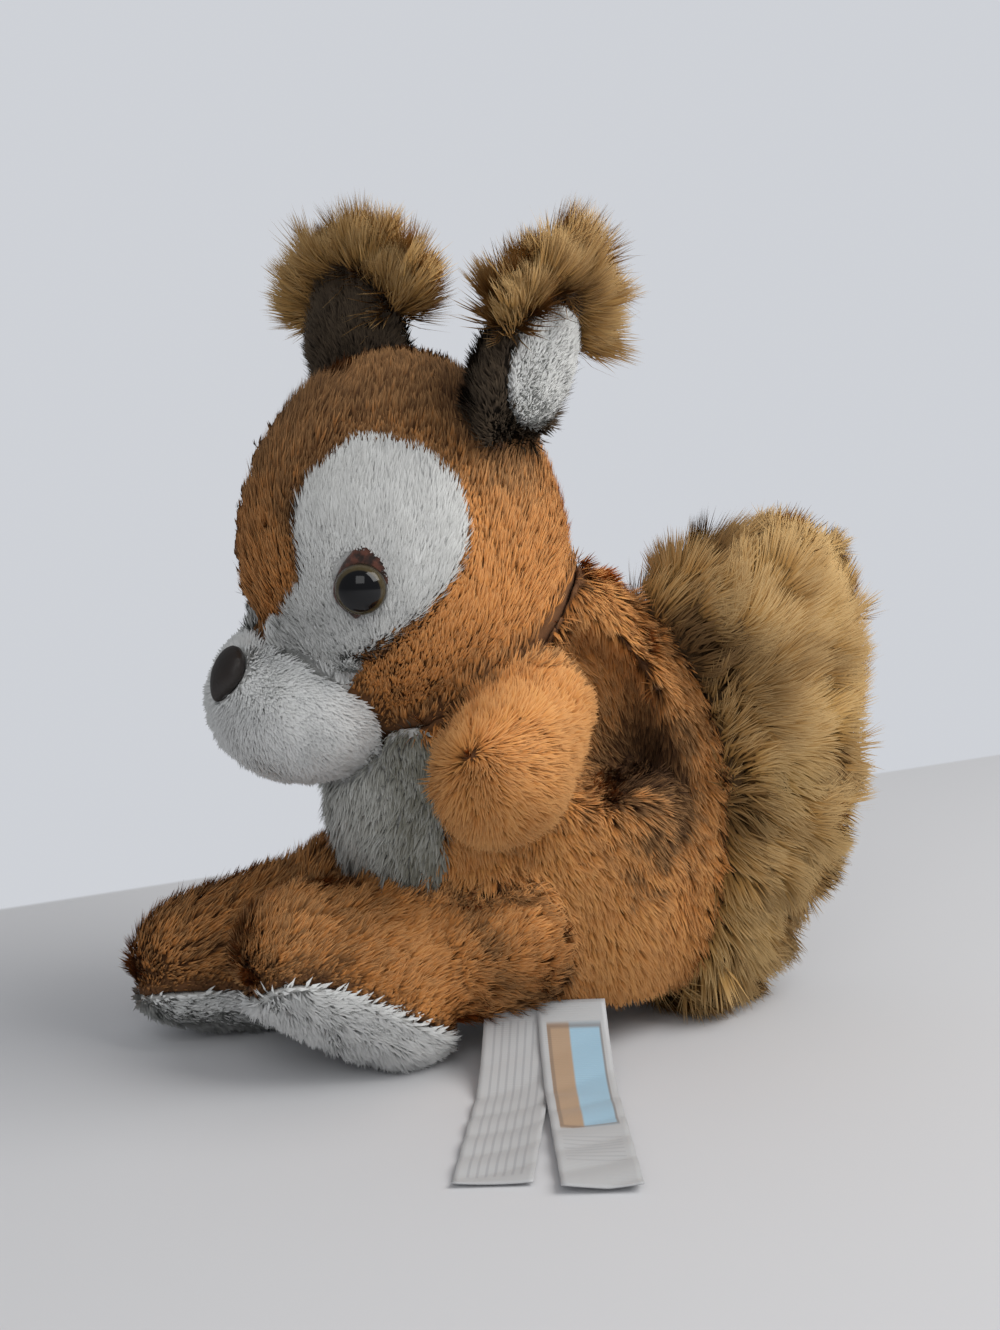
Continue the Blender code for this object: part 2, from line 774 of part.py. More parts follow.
def leg(side, root):
    """A stuffed thigh running into a long foot; gives the leg and the white sole."""
    way = 1 if side == "left" else -1
    pitch = FOOT_PITCH[side]
    forward = Vector((0, -math.cos(pitch), math.sin(pitch)))
    x = way * LEG_SPREAD
    toe_end = TOE_HEIGHT / 2
    fore = FOOT_LENGTH - toe_end - HEEL_HEIGHT / 2
    back = -FOOT_REACH[side] + math.cos(pitch) * (fore + toe_end)
    ankle = Vector((x, back, math.cos(pitch) * HEEL_HEIGHT / 2 - FLOOR_PRESS))
    toe = ankle + forward * fore
    instep = (ankle + toe) / 2
    foot = [
        (*ankle, FOOT_WIDTH / 2, HEEL_HEIGHT / 2),
        (*instep, FOOT_WIDTH / 2, FOOT_HEIGHT / 2),
        (*toe, FOOT_WIDTH / 2, TOE_HEIGHT / 2),
    ]
    mesh = stuffed_tube(f"leg_{side}", foot, (HEEL_LENGTH, toe_end), stations=5, sides=18)
    made = add(f"leg_{side}", mesh, "brown_plush", root)
    hip = Vector((x + way * HIP_SPREAD, HIP_BACK, HIP_HEIGHT))
    shin = ankle + Vector((0, HEEL_LENGTH / 2, SHIN_RISE))
    thigh = [
        (*hip, THIGH_WIDTH / 2, THIGH_HEIGHT / 2),
        (*shin, SHIN_WIDTH / 2, SHIN_HEIGHT / 2),
    ]
    mesh = stuffed_tube("thigh", thigh, (THIGH_CAP, THIGH_CAP), stations=3, sides=18)
    upper = guide("thigh", mesh, root)
    combine(made, upper, "UNION")
    drop(upper)
    flatten(made)

    outline = oval(SOLE_LENGTH, SOLE_HEIGHT, squareness=OVAL_FILL)
    region = guide("sole_region", prism("sole_region", outline, -REGION_REACH, REGION_REACH), root)
    below = instep + forward * SOLE_FORWARD - Vector((0, 0, SOLE_DROP))
    flat = Matrix((-forward, Vector((1, 0, 0)).cross(-forward), (1, 0, 0))).transposed()
    tilt = Matrix.Rotation(-SOLE_TILT, 4, "Z")
    region.matrix_basis = Matrix.Translation(below) @ flat.to_4x4() @ tilt
    sole = add(f"sole_{side}", made.data.copy(), "white_plush", root)
    combine(sole, region, "INTERSECT")
    seat(made, region)
    drop(region)
    return made, sole


def tail(root):
    """The bushy plume, seated on the back of the body."""
    rows = []
    for (y, z), thickness in zip(TAIL_PATH, TAIL_THICKNESS):
        share = TAIL_EVENNESS + (1 - TAIL_EVENNESS) * thickness / max(TAIL_THICKNESS)
        rows.append((0, y, z, TAIL_WIDTH / 2 * share, thickness / 2))
    mesh = stuffed_tube("tail", rows, (TAIL_ROOT, TAIL_END), stations=8, sides=20)
    made = add("tail", mesh, "tail_plush", root)
    flatten(made)
    return made


def label(name, length, place, lift, fan, root):
    """A satin strip that drops from the seam to the floor and lies out along it."""
    start = Vector((LABEL_SEAM, place, LABEL_HEIGHT + lift))
    touch = start.x + LABEL_FALL
    rows = [
        (start.x, start.z),
        (start.x + LABEL_FALL * LABEL_BEND[0], LABEL_HEIGHT * LABEL_BEND[1] + lift),
        (touch, LABEL_THICKNESS / 2 + lift),
        (touch + (length - LABEL_FALL) / 2, LABEL_THICKNESS / 2 + lift),
        (start.x + length, LABEL_THICKNESS / 2 + lift),
    ]
    path = smooth_through(rows, LABEL_STEPS)
    path[:, 1] = np.maximum(path[:, 1], LABEL_THICKNESS / 2 + lift)
    bends = np.gradient(path, axis=0)
    bends /= np.linalg.norm(bends, axis=1)[:, None]
    rings = []
    half = LABEL_THICKNESS / 2
    for (x, z), (dx, dz) in zip(path, bends):
        ring = []
        for out, up in ((-1, -1), (1, -1), (1, 1), (-1, 1)):
            y = out * LABEL_WIDTH / 2 + fan * (x - start.x)
            ring.append(Vector((x - dz * up * half, y, z + dx * up * half)))
        rings.append(ring)
    mesh = bpy.data.meshes.new(name)
    points = [point for ring in rings for point in ring]
    faces = [(0, 1, 2, 3), tuple(range(len(points) - 1, len(points) - 5, -1))]
    for ring in range(len(rings) - 1):
        for corner in range(4):
            after = (corner + 1) % 4
            low, high = ring * 4, (ring + 1) * 4
            faces.append((low + corner, high + corner, high + after, low + after))
    mesh.from_pydata([tuple(point) for point in points], [], faces)
    turn = Matrix.Translation((start.x, LABEL_PLACE, 0)) @ Matrix.Rotation(LABEL_TURN, 4, "Z")
    turn = turn @ Matrix.Translation((0, place, 0))
    mesh.transform(turn @ Matrix.Translation((-start.x, 0, 0)))
    skin = bmesh.new()
    skin.from_mesh(mesh)
    bmesh.ops.recalc_face_normals(skin, faces=skin.faces)
    skin.to_mesh(mesh)
    skin.free()
    return add(name, mesh, "label_satin", root)


def build():
    clear_scene()
    root = bpy.data.objects.new("squirrel", None)
    bpy.context.scene.collection.objects.link(root)
    skull = bpy.data.objects.new("head_axis", None)
    bpy.context.scene.collection.objects.link(skull)
    skull.parent = root
    skull.location = (0, -HEAD_FORWARD, NECK_HEIGHT + HEAD_HEIGHT / 2)
    skull.rotation_euler = (HEAD_NOD, HEAD_TILT, HEAD_TURN)

    head = head_form(skull)
    muzzle = muzzle_form(skull)
    whole_head, whole_muzzle = copy_of(head), copy_of(muzzle)
    for side, way in (("left", 1), ("right", -1)):
        place, normal = surface(whole_head, direction(way * EYE_ASIDE, EYE_RISE))
        spot = Matrix.Translation(place) @ facing(normal)
        panel = eye_patch(side, head, spot)
        eye(side, head, panel, spot)
    for side in ("left", "right"):
        for piece in ear(side, whole_head):
            seat(piece, whole_head)
    nose(muzzle, head)
    seat(muzzle, whole_head)

    body = body_form(root)
    flatten(body, BODY_BASE)
    whole_body = copy_of(body)
    legs = [leg(side, root) for side in ("left", "right")]
    plume = tail(root)
    panel = bib(body)
    seat(body, whole_head, whole_muzzle)
    seat(panel, whole_head, whole_muzzle)
    pocket(body, head, root)
    for made, sole in legs:
        seat(made, whole_body)
        seat(sole, whole_body)
    seat(plume, whole_body)
    for side in ("left", "right"):
        seat(arm(side, root), whole_body, whole_head, *(made for made, _ in legs))
    care = label("care_label", CARE_LENGTH, -LABEL_APART / 2, 0.0, -LABEL_FAN, root)
    name = label("name_label", NAME_LENGTH, LABEL_APART / 2, LABEL_LIFT, LABEL_FAN, root)
    for strip in (care, name):
        seat(strip, whole_body, *(piece for pair in legs for piece in pair))
    drop(whole_head, whole_muzzle, whole_body)

    bpy.context.view_layer.update()
    corners = [
        item.matrix_world @ vert.co
        for item in bpy.data.objects
        if item.type == "MESH"
        for vert in item.data.vertices
    ]
    low = np.min(corners, axis=0)
    high = np.max(corners, axis=0)
    root.location = (-(low[0] + high[0]) / 2, -(low[1] + high[1]) / 2, -low[2])


build()
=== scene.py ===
"""Looks for the plush squirrel hand puppet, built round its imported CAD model.

Metres, +Z up. The squirrel faces -Y and its left side is +X. The floor is Z = 0.
"""

import math

import bmesh
import bpy
import numpy as np
from mathutils import Matrix, Vector, noise
from mathutils.bvhtree import BVHTree


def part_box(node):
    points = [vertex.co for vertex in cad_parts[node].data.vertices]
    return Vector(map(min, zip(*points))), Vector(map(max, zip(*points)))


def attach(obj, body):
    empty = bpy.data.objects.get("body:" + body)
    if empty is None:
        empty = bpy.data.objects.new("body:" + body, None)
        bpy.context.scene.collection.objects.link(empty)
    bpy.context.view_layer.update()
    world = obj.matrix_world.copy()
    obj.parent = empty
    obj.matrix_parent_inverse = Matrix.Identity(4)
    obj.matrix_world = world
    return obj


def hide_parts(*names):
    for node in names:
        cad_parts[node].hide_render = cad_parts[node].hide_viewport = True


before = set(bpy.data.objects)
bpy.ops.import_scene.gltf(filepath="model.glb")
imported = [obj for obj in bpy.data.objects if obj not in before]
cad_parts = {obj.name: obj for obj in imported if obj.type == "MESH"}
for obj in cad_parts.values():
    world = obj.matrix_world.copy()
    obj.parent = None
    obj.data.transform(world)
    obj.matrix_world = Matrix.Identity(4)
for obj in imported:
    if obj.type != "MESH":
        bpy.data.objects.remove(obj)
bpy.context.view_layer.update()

# Room: the puppet sits on a pale table before a pale wall. Light comes from a window high up
# behind its back and from a weaker one at its left, where the camera stands. The wall is only
# a colour, which the camera sees in the world and on the table past the wall's foot.
VIEW_AZIMUTH = math.radians(78)
VIEW_RISE = math.radians(8)
VIEW_ROLL = math.radians(2.5)
VIEW_DISTANCE = 0.600
VIEW_TARGET = Vector((-0.0309, 0.0002, 0.135))
VIEW_LENS = 44.66
TABLE_SIZE = 30.0
TABLE_COLOUR = (0.60, 0.60, 0.615)
TABLE_FLECKS = 1.04
ROOM_COLOUR = (0.93, 0.96, 1.0)
ROOM_LIGHT = 0.42
ROOM_MIRRORED = 0.22
SEEN_COLOUR = (0.62, 0.64, 0.68)
WALL_FOOT = (-0.2618, -0.2038, 0.0)
WALL_WAY = (-0.9751, -0.2219, 0.0)
WALL_BLUR = (-0.002, 0.004)
LAMPS = {
    "window": {"place": (0.55, 0.95, 1.05), "size": 1.1, "watts": 19.0, "colour": (1.0, 0.985, 0.96)},
    "second_window": {"place": (1.25, -0.35, 0.85), "size": 0.8, "watts": 4.0, "colour": (1.0, 1.0, 1.0)},
}


class Wire:
    """An end in a node tree that takes part in sums, so that 1 - mask and place * 2 work."""

    def __init__(self, board, end):
        self.board = board
        self.end = end

    def sum(self, operation, other, turned=False):
        """A node for one operation on two values. A number only scales a vector."""
        pair = [other, self] if turned else [self, other]
        vectors = [
            isinstance(item, (tuple, Vector))
            or isinstance(item, Wire) and item.end.type in ("VECTOR", "RGBA")
            for item in pair
        ]
        if all(vectors):
            return self.board.put("ShaderNodeVectorMath", {"operation": operation}, dict(enumerate(pair)))
        if any(vectors):
            vector, number = pair if vectors[0] else pair[::-1]
            values = {"Vector": vector, "Scale": number}
            return self.board.put("ShaderNodeVectorMath", {"operation": "SCALE"}, values)
        return self.board.put("ShaderNodeMath", {"operation": operation}, dict(enumerate(pair)))

    def __add__(self, other):
        return self.sum("ADD", other)

    def __radd__(self, other):
        return self.sum("ADD", other, turned=True)

    def __sub__(self, other):
        return self.sum("SUBTRACT", other)

    def __rsub__(self, other):
        return self.sum("SUBTRACT", other, turned=True)

    def __mul__(self, other):
        return self.sum("MULTIPLY", other)

    def __rmul__(self, other):
        return self.sum("MULTIPLY", other, turned=True)

    def __truediv__(self, other):
        return self.sum("DIVIDE", other)

    def __rtruediv__(self, other):
        return self.sum("DIVIDE", other, turned=True)


class Board:
    """A node tree under construction."""

    def __init__(self, tree):
        self.tree = tree

    def put(self, kind, settings=None, values=None, out=0):
        """Adds a node: its settings first, then the values or wires of its sockets."""
        node = self.tree.nodes.new(kind)
        settings = dict(settings or {})
        stops = settings.pop("stops", None)
        for name, value in settings.items():
            setattr(node, name, value)
        if stops:
            ramp = node.color_ramp
            while len(ramp.elements) < len(stops):
                ramp.elements.new(1.0)
            for element, (place, colour) in zip(ramp.elements, stops):
                element.position = place
                element.color = (*colour, 1.0)
        for name, value in (values or {}).items():
            if isinstance(value, Wire):
                self.tree.links.new(value.end, node.inputs[name])
            else:
                node.inputs[name].default_value = value
        return Wire(self, node.outputs[out])

    def also(self, wire, out):
        """Another output of the node that a wire comes from."""
        return Wire(self, wire.end.node.outputs[out])

    def mix(self, share, first, second):
        """A colour between two."""
        values = {0: share, 6: first, 7: second}
        for at in (6, 7):
            if not isinstance(values[at], Wire):
                values[at] = (*values[at], 1.0)
        return self.put("ShaderNodeMix", {"data_type": "RGBA", "clamp_factor": True}, values, out=2)

    def rise(self, value, low, high):
        """0 below low, 1 above high and a smooth rise between."""
        values = {"Value": value, "From Min": low, "From Max": high}
        return self.put("ShaderNodeMapRange", {"interpolation_type": "SMOOTHSTEP"}, values)


class Finish(Board):
    """A material whose shader takes constants and what varies over the surface."""

    def __init__(self, name, **constants):
        self.material = bpy.data.materials.new(name)
        self.material.use_nodes = True
        super().__init__(self.material.node_tree)
        self.shader = self.tree.nodes["Principled BSDF"]
        for socket, value in constants.items():
            self.shader.inputs[socket.replace("_", " ")].default_value = value

    def feed(self, **wires):
        for socket, wire in wires.items():
            self.tree.links.new(wire.end, self.shader.inputs[socket.replace("_", " ")])
        return self.material

    def bump(self, height, strength, distance):
        values = {"Height": height, "Strength": strength, "Distance": distance}
        return self.put("ShaderNodeBump", {}, values)


def table_and_room():
    bpy.context.scene.view_settings.view_transform = "Standard"
    back = Vector(
        (
            math.sin(VIEW_AZIMUTH) * math.cos(VIEW_RISE),
            -math.cos(VIEW_AZIMUTH) * math.cos(VIEW_RISE),
            math.sin(VIEW_RISE),
        )
    )
    level = Vector((math.cos(VIEW_AZIMUTH), math.sin(VIEW_AZIMUTH), 0))
    upright = back.cross(level)
    right = level * math.cos(VIEW_ROLL) - upright * math.sin(VIEW_ROLL)
    up = upright * math.cos(VIEW_ROLL) + level * math.sin(VIEW_ROLL)
    camera = bpy.data.objects.new("camera", bpy.data.cameras.new("camera"))
    camera.data.lens = VIEW_LENS
    camera.data.clip_start = 0.01
    turn = Matrix((right, up, back)).transposed().to_4x4()
    camera.matrix_world = Matrix.Translation(VIEW_TARGET + back * VIEW_DISTANCE) @ turn
    bpy.context.scene.collection.objects.link(camera)
    bpy.context.scene.camera = camera

    half = TABLE_SIZE / 2
    mesh = bpy.data.meshes.new("table")
    corners = [(-half, -half, 0), (half, -half, 0), (half, half, 0), (-half, half, 0)]
    mesh.from_pydata(corners, [], [(0, 1, 2, 3)])
    table = bpy.data.objects.new("table", mesh)
    bpy.context.scene.collection.objects.link(table)
    paint = Finish("table_top", Roughness=0.75)
    grain = paint.put("ShaderNodeTexNoise", {}, {"Scale": 6.0, "Detail": 3.0})
    pale = tuple(part * TABLE_FLECKS for part in TABLE_COLOUR)
    paint.feed(Base_Color=paint.mix(grain, TABLE_COLOUR, pale))
    values = {0: paint.put("ShaderNodeTexCoord", out="Object") - WALL_FOOT, 1: WALL_WAY}
    behind = paint.put("ShaderNodeVectorMath", {"operation": "DOT_PRODUCT"}, values, out="Value")
    wall = paint.put("ShaderNodeEmission", {}, {"Color": (*SEEN_COLOUR, 1.0)})
    share = paint.rise(behind, *WALL_BLUR) * paint.put("ShaderNodeLightPath")
    top = Wire(paint, paint.shader.outputs[0])
    faced = paint.put("ShaderNodeMixShader", {}, {0: share, 1: top, 2: wall})
    paint.tree.links.new(faced.end, paint.tree.nodes["Material Output"].inputs["Surface"])
    mesh.materials.append(paint.material)

    world = bpy.data.worlds.new("room")
    bpy.context.scene.world = world
    world.use_nodes = True
    sky = Board(world.node_tree)
    seen = sky.put("ShaderNodeLightPath")
    mirrored = sky.also(seen, "Is Glossy Ray")
    room = world.node_tree.nodes["Background"]
    room.inputs["Color"].default_value = (*ROOM_COLOUR, 1.0)
    room.inputs["Strength"].default_value = ROOM_LIGHT
    dim = sky.put("ShaderNodeBackground", {}, {"Color": (*ROOM_COLOUR, 1.0), "Strength": ROOM_MIRRORED})
    wall = sky.put("ShaderNodeBackground", {}, {"Color": (*SEEN_COLOUR, 1.0), "Strength": 1.0})
    around = sky.put("ShaderNodeMixShader", {}, {0: mirrored, 1: Wire(sky, room.outputs[0]), 2: dim})
    picked = sky.put("ShaderNodeMixShader", {}, {0: seen, 1: around, 2: wall})
    world.node_tree.links.new(picked.end, world.node_tree.nodes["World Output"].inputs["Surface"])

    for name, window in LAMPS.items():
        light = bpy.data.lights.new(name, "AREA")
        light.size = window["size"]
        light.energy = window["watts"]
        light.color = window["colour"]
        lamp = bpy.data.objects.new(name, light)
        lamp.location = VIEW_TARGET + Vector(window["place"])
        lamp.rotation_euler = (-Vector(window["place"])).to_track_quat("-Z", "Y").to_euler()
        bpy.context.scene.collection.objects.link(lamp)


table_and_room()

# Head: an egg-shaped ball of orange-brown plush, turned a little to its left and lolling
# forward. The pile is about 9 mm long, brushed up the face and back over the head, darker
# over the crown and round the ears, with a small pale knot on the brow ringed by painted shadow.
HEAD_MIDDLE = Vector((-0.0309, -0.0328, 0.177))
FACE_WAY = Vector((0.304, -0.930, -0.205))
HEAD_UP = Vector((0.215, -0.143, 0.966))
BROW = (0.0103, -0.0777, 0.1942)
EAR_FOOT = 0.030
EAR_AHEAD = 0.012
SWEPT_BACK = 0.30
SWEPT_IN = 0.12
FACE_SPLIT = 0.02
HEAD_TONE = 0.56
CROWN_DARKER = 0.35
FACE_DARKER = 0.12
EARS_DARKER = 0.24
KNOT_PALER = 0.40
KNOT_PAINTED_SHADOW = 0.30
RIDGE_WIDTH = 0.012
RIDGE_TALLER = 0.30
BRIDGE_REACH = 0.0105
CROP_REACH = 0.008
CROP_LEAST = 0.50
BROWN = [
    (0.00, (0.035, 0.015, 0.007)),
    (0.28, (0.170, 0.075, 0.026)),
    (0.55, (0.580, 0.225, 0.058)),
    (0.80, (0.740, 0.340, 0.100)),
    (1.00, (0.850, 0.500, 0.210)),
]
BROWN_TIP = (0.86, 0.50, 0.22)


def piece(name, mesh):
    made = bpy.data.objects.new(name, mesh)
    bpy.context.scene.collection.objects.link(made)
    return made


def settled(item):
    """Turns an object's modifiers into its mesh."""
    bpy.context.view_layer.update()
    state = bpy.context.evaluated_depsgraph_get()
    seen = item.evaluated_get(state)
    made = bpy.data.meshes.new_from_object(seen, preserve_all_data_layers=True, depsgraph=state)
    item.modifiers.clear()
    old = item.data
    item.data = made
    bpy.data.meshes.remove(old)
    return item


def table_of(mesh, what="co", layer="vertices", width=3):
    items = getattr(mesh, layer)
    values = np.zeros(len(items) * width, np.float32)
    items.foreach_get(what, values)
    return values.reshape(-1, width).astype(float) if width > 1 else values


def set_attribute(mesh, name, values):
    kind = "FLOAT" if values.ndim == 1 else "FLOAT_VECTOR"
    layer = mesh.attributes.new(name, kind, "POINT")
    layer.data.foreach_set("value" if kind == "FLOAT" else "vector", values.astype(np.float32).ravel())


def unit(rows):
    return rows / np.maximum(np.linalg.norm(rows, axis=1), 1e-9)[:, None]


def triangles_of(node):
    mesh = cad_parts[node].data
    return table_of(mesh), [tuple(face.vertices) for face in mesh.polygons]


def walls_of(nodes):
    points, faces = [], []
    for node in nodes:
        more, joined = triangles_of(node)
        faces += [tuple(corner + len(points) for corner in face) for face in joined]
        points += [tuple(row) for row in more]
    return BVHTree.FromPolygons(points, faces)


ALL_WALLS = walls_of(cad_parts)
SHELTER_RAYS = 18
SHELTER_START = 0.0015
SHELTER_REACH = 0.030
SHELTER_LIFT = 1.05


def sheltered(points, normals):
    """How much of the room each point is hidden from by creases and neighbouring pieces. It sets the
    painted shade there.
    """
    turns = np.arange(SHELTER_RAYS) * math.pi * (3 - math.sqrt(5))
    rises = 1 - 2 * (np.arange(SHELTER_RAYS) + 0.5) / SHELTER_RAYS
    flat = np.sqrt(1 - rises**2)
    rays = np.stack([np.cos(turns) * flat, np.sin(turns) * flat, rises], axis=1)
    hidden = np.zeros(len(points))
    for at, (point, normal) in enumerate(zip(points, normals)):
        start = Vector(point + normal * SHELTER_START)
        count = 0
        for ray in unit(rays + normal * SHELTER_LIFT):
            if ALL_WALLS.ray_cast(start, Vector(ray), SHELTER_REACH)[0]:
                count += 1
        hidden[at] = count / SHELTER_RAYS
    return hidden


def spread(mesh, values, times):
    """Averages values with those of the points next to them."""
    ends = np.zeros(len(mesh.edges) * 2, np.int32)
    mesh.edges.foreach_get("vertices", ends)
    first, second = ends.reshape(-1, 2).T
    share = np.ones(len(values))
    np.add.at(share, first, 1)
    np.add.at(share, second, 1)
    for _ in range(times):
        total = values.copy()
        np.add.at(total, first, values[second])
        np.add.at(total, second, values[first])
        values = total / share
    return values


MERGED = 0.00001


def copy_of(node, name):
    """A CAD node's mesh as a piece of its own, its loose triangles joined."""
    skin = bmesh.new()
    skin.from_mesh(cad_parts[node].data)
    bmesh.ops.remove_doubles(skin, verts=skin.verts, dist=MERGED)
    mesh = bpy.data.meshes.new(name)
    skin.to_mesh(mesh)
    skin.free()
    return piece(name, mesh)


def evened(item, voxel, passes):
    """Gives a piece an even mesh of small faces, its edges softened."""
    fine = item.modifiers.new("fine", "REMESH")
    fine.mode = "VOXEL"
    fine.voxel_size = voxel
    even = item.modifiers.new("even", "SMOOTH")
    even.factor = 0.5
    even.iterations = passes
    return settled(item)


TOUCH_START = 0.0008
TOUCH_REACH = 0.0045
FLOOR_TOUCH = 0.0012
FLOOR_FACING = -0.7


def backing(node, name, voxel, inset, passes=12, reach=TOUCH_REACH):
    """The cloth under the pile: the CAD solid smoothed and drawn in by the pile's height,
    but not along its seams. Each point also keeps how free it is and how sheltered."""
    cloth = evened(copy_of(node, name), voxel, passes)
    mesh = cloth.data
    points = table_of(mesh)
    normals = table_of(mesh, "vector", "vertex_normals")
    others = walls_of(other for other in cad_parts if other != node)
    free = np.ones(len(points))
    for at, (point, normal) in enumerate(zip(points, normals)):
        if others.ray_cast(Vector(point - normal * TOUCH_START), Vector(normal), reach)[0]:
            free[at] = 0
        elif point[2] < FLOOR_TOUCH and normal[2] < FLOOR_FACING:
            free[at] = 0
    depth = spread(mesh, free, 2) * free
    moved = points - normals * inset * depth[:, None]
    mesh.vertices.foreach_set("co", moved.astype(np.float32).ravel())
    mesh.update()
    mesh.shade_smooth()
    set_attribute(mesh, "cover", free)
    set_attribute(mesh, "shelter", spread(mesh, sheltered(points, normals), 1))
    return cloth


def attribute_of(mesh, name):
    """A mesh attribute's number for each point."""
    values = np.zeros(len(mesh.vertices), np.float32)
    mesh.attributes[name].data.foreach_get("value", values)
    return values


def plain(value):
    """The same value all over a piece."""
    return lambda points, normals: np.full(len(points), value)


def lying(*way):
    """Pile that lies one way all over a piece."""
    return lambda points: np.tile(way, (len(points), 1))


def from_point(point):
    """Pile brushed away from a point."""
    return lambda points: unit(points - np.array(point))


def near(points, place, reach):
    """1 at a place and falling off smoothly round it."""
    return np.exp(-((np.linalg.norm(points - np.array(place), axis=1) / reach) ** 2))


def ramp(values, start, width):
    """0 up to a start, and from there up to 1 over a width."""
    return np.clip((values - start) / width, 0, 1)


OPEN_SHELTER = 0.12
BALD = 0.05


def comb(cloth, nap, shade=plain(0.5), tall=plain(1.0), painted_fold_shade=0.5):
    """Says for each point of the backing which way its pile lies, how light it is, on a
    scale from 0 to 1, and how tall it stands next to the rest. Creases get painted shade.
    Where the pile would part, it stands up instead."""
    mesh = cloth.data
    points = table_of(mesh)
    normals = table_of(mesh, "vector", "vertex_normals")
    way = unit(nap(points))
    set_attribute(mesh, "nap", way - normals * np.sum(way * normals, axis=1)[:, None])
    # Painted shade: the more sheltered a point is, the darker its pile.
    hidden = np.clip(attribute_of(mesh, "shelter") - OPEN_SHELTER, 0, 1)
    set_attribute(mesh, "shade", np.clip(shade(points, normals) - painted_fold_shade * hidden, 0, 1))
    high = tall(points, normals)
    set_attribute(mesh, "tall", high)
    cover = attribute_of(mesh, "cover") * (high > BALD)
    mesh.attributes["cover"].data.foreach_set("value", cover.astype(np.float32))


KITE_WIDEST = 0.42
KITE_ARCH = 0.08


def kite():
    """One strand of pile, 1 long and 1 wide, arched up a little. It leans along Z and its
    face is towards Y."""
    mesh = bpy.data.meshes.new("kite")
    sides = [(-0.5, KITE_ARCH, KITE_WIDEST), (0.5, KITE_ARCH, KITE_WIDEST)]
    mesh.from_pydata([(0, 0, 0), *sides, (0, 0, 1)], [], [(0, 1, 2), (2, 1, 3)])
    set_attribute(mesh, "along", np.array([0, KITE_WIDEST, KITE_WIDEST, 1.0]))
    set_attribute(mesh, "aside", np.array([0, -1, 1, 0.0]))
    return mesh


WIDTH_SPREAD = (0.7, 1.3)
STRAND_FRECKLE = 0.13
CLUMP_FRECKLE = 0.16
TWIST = 0.35
LEAN_IN_LIGHT = 0.45
SHADE_ENDS = {"Min": 0.03, "Max": 0.97}


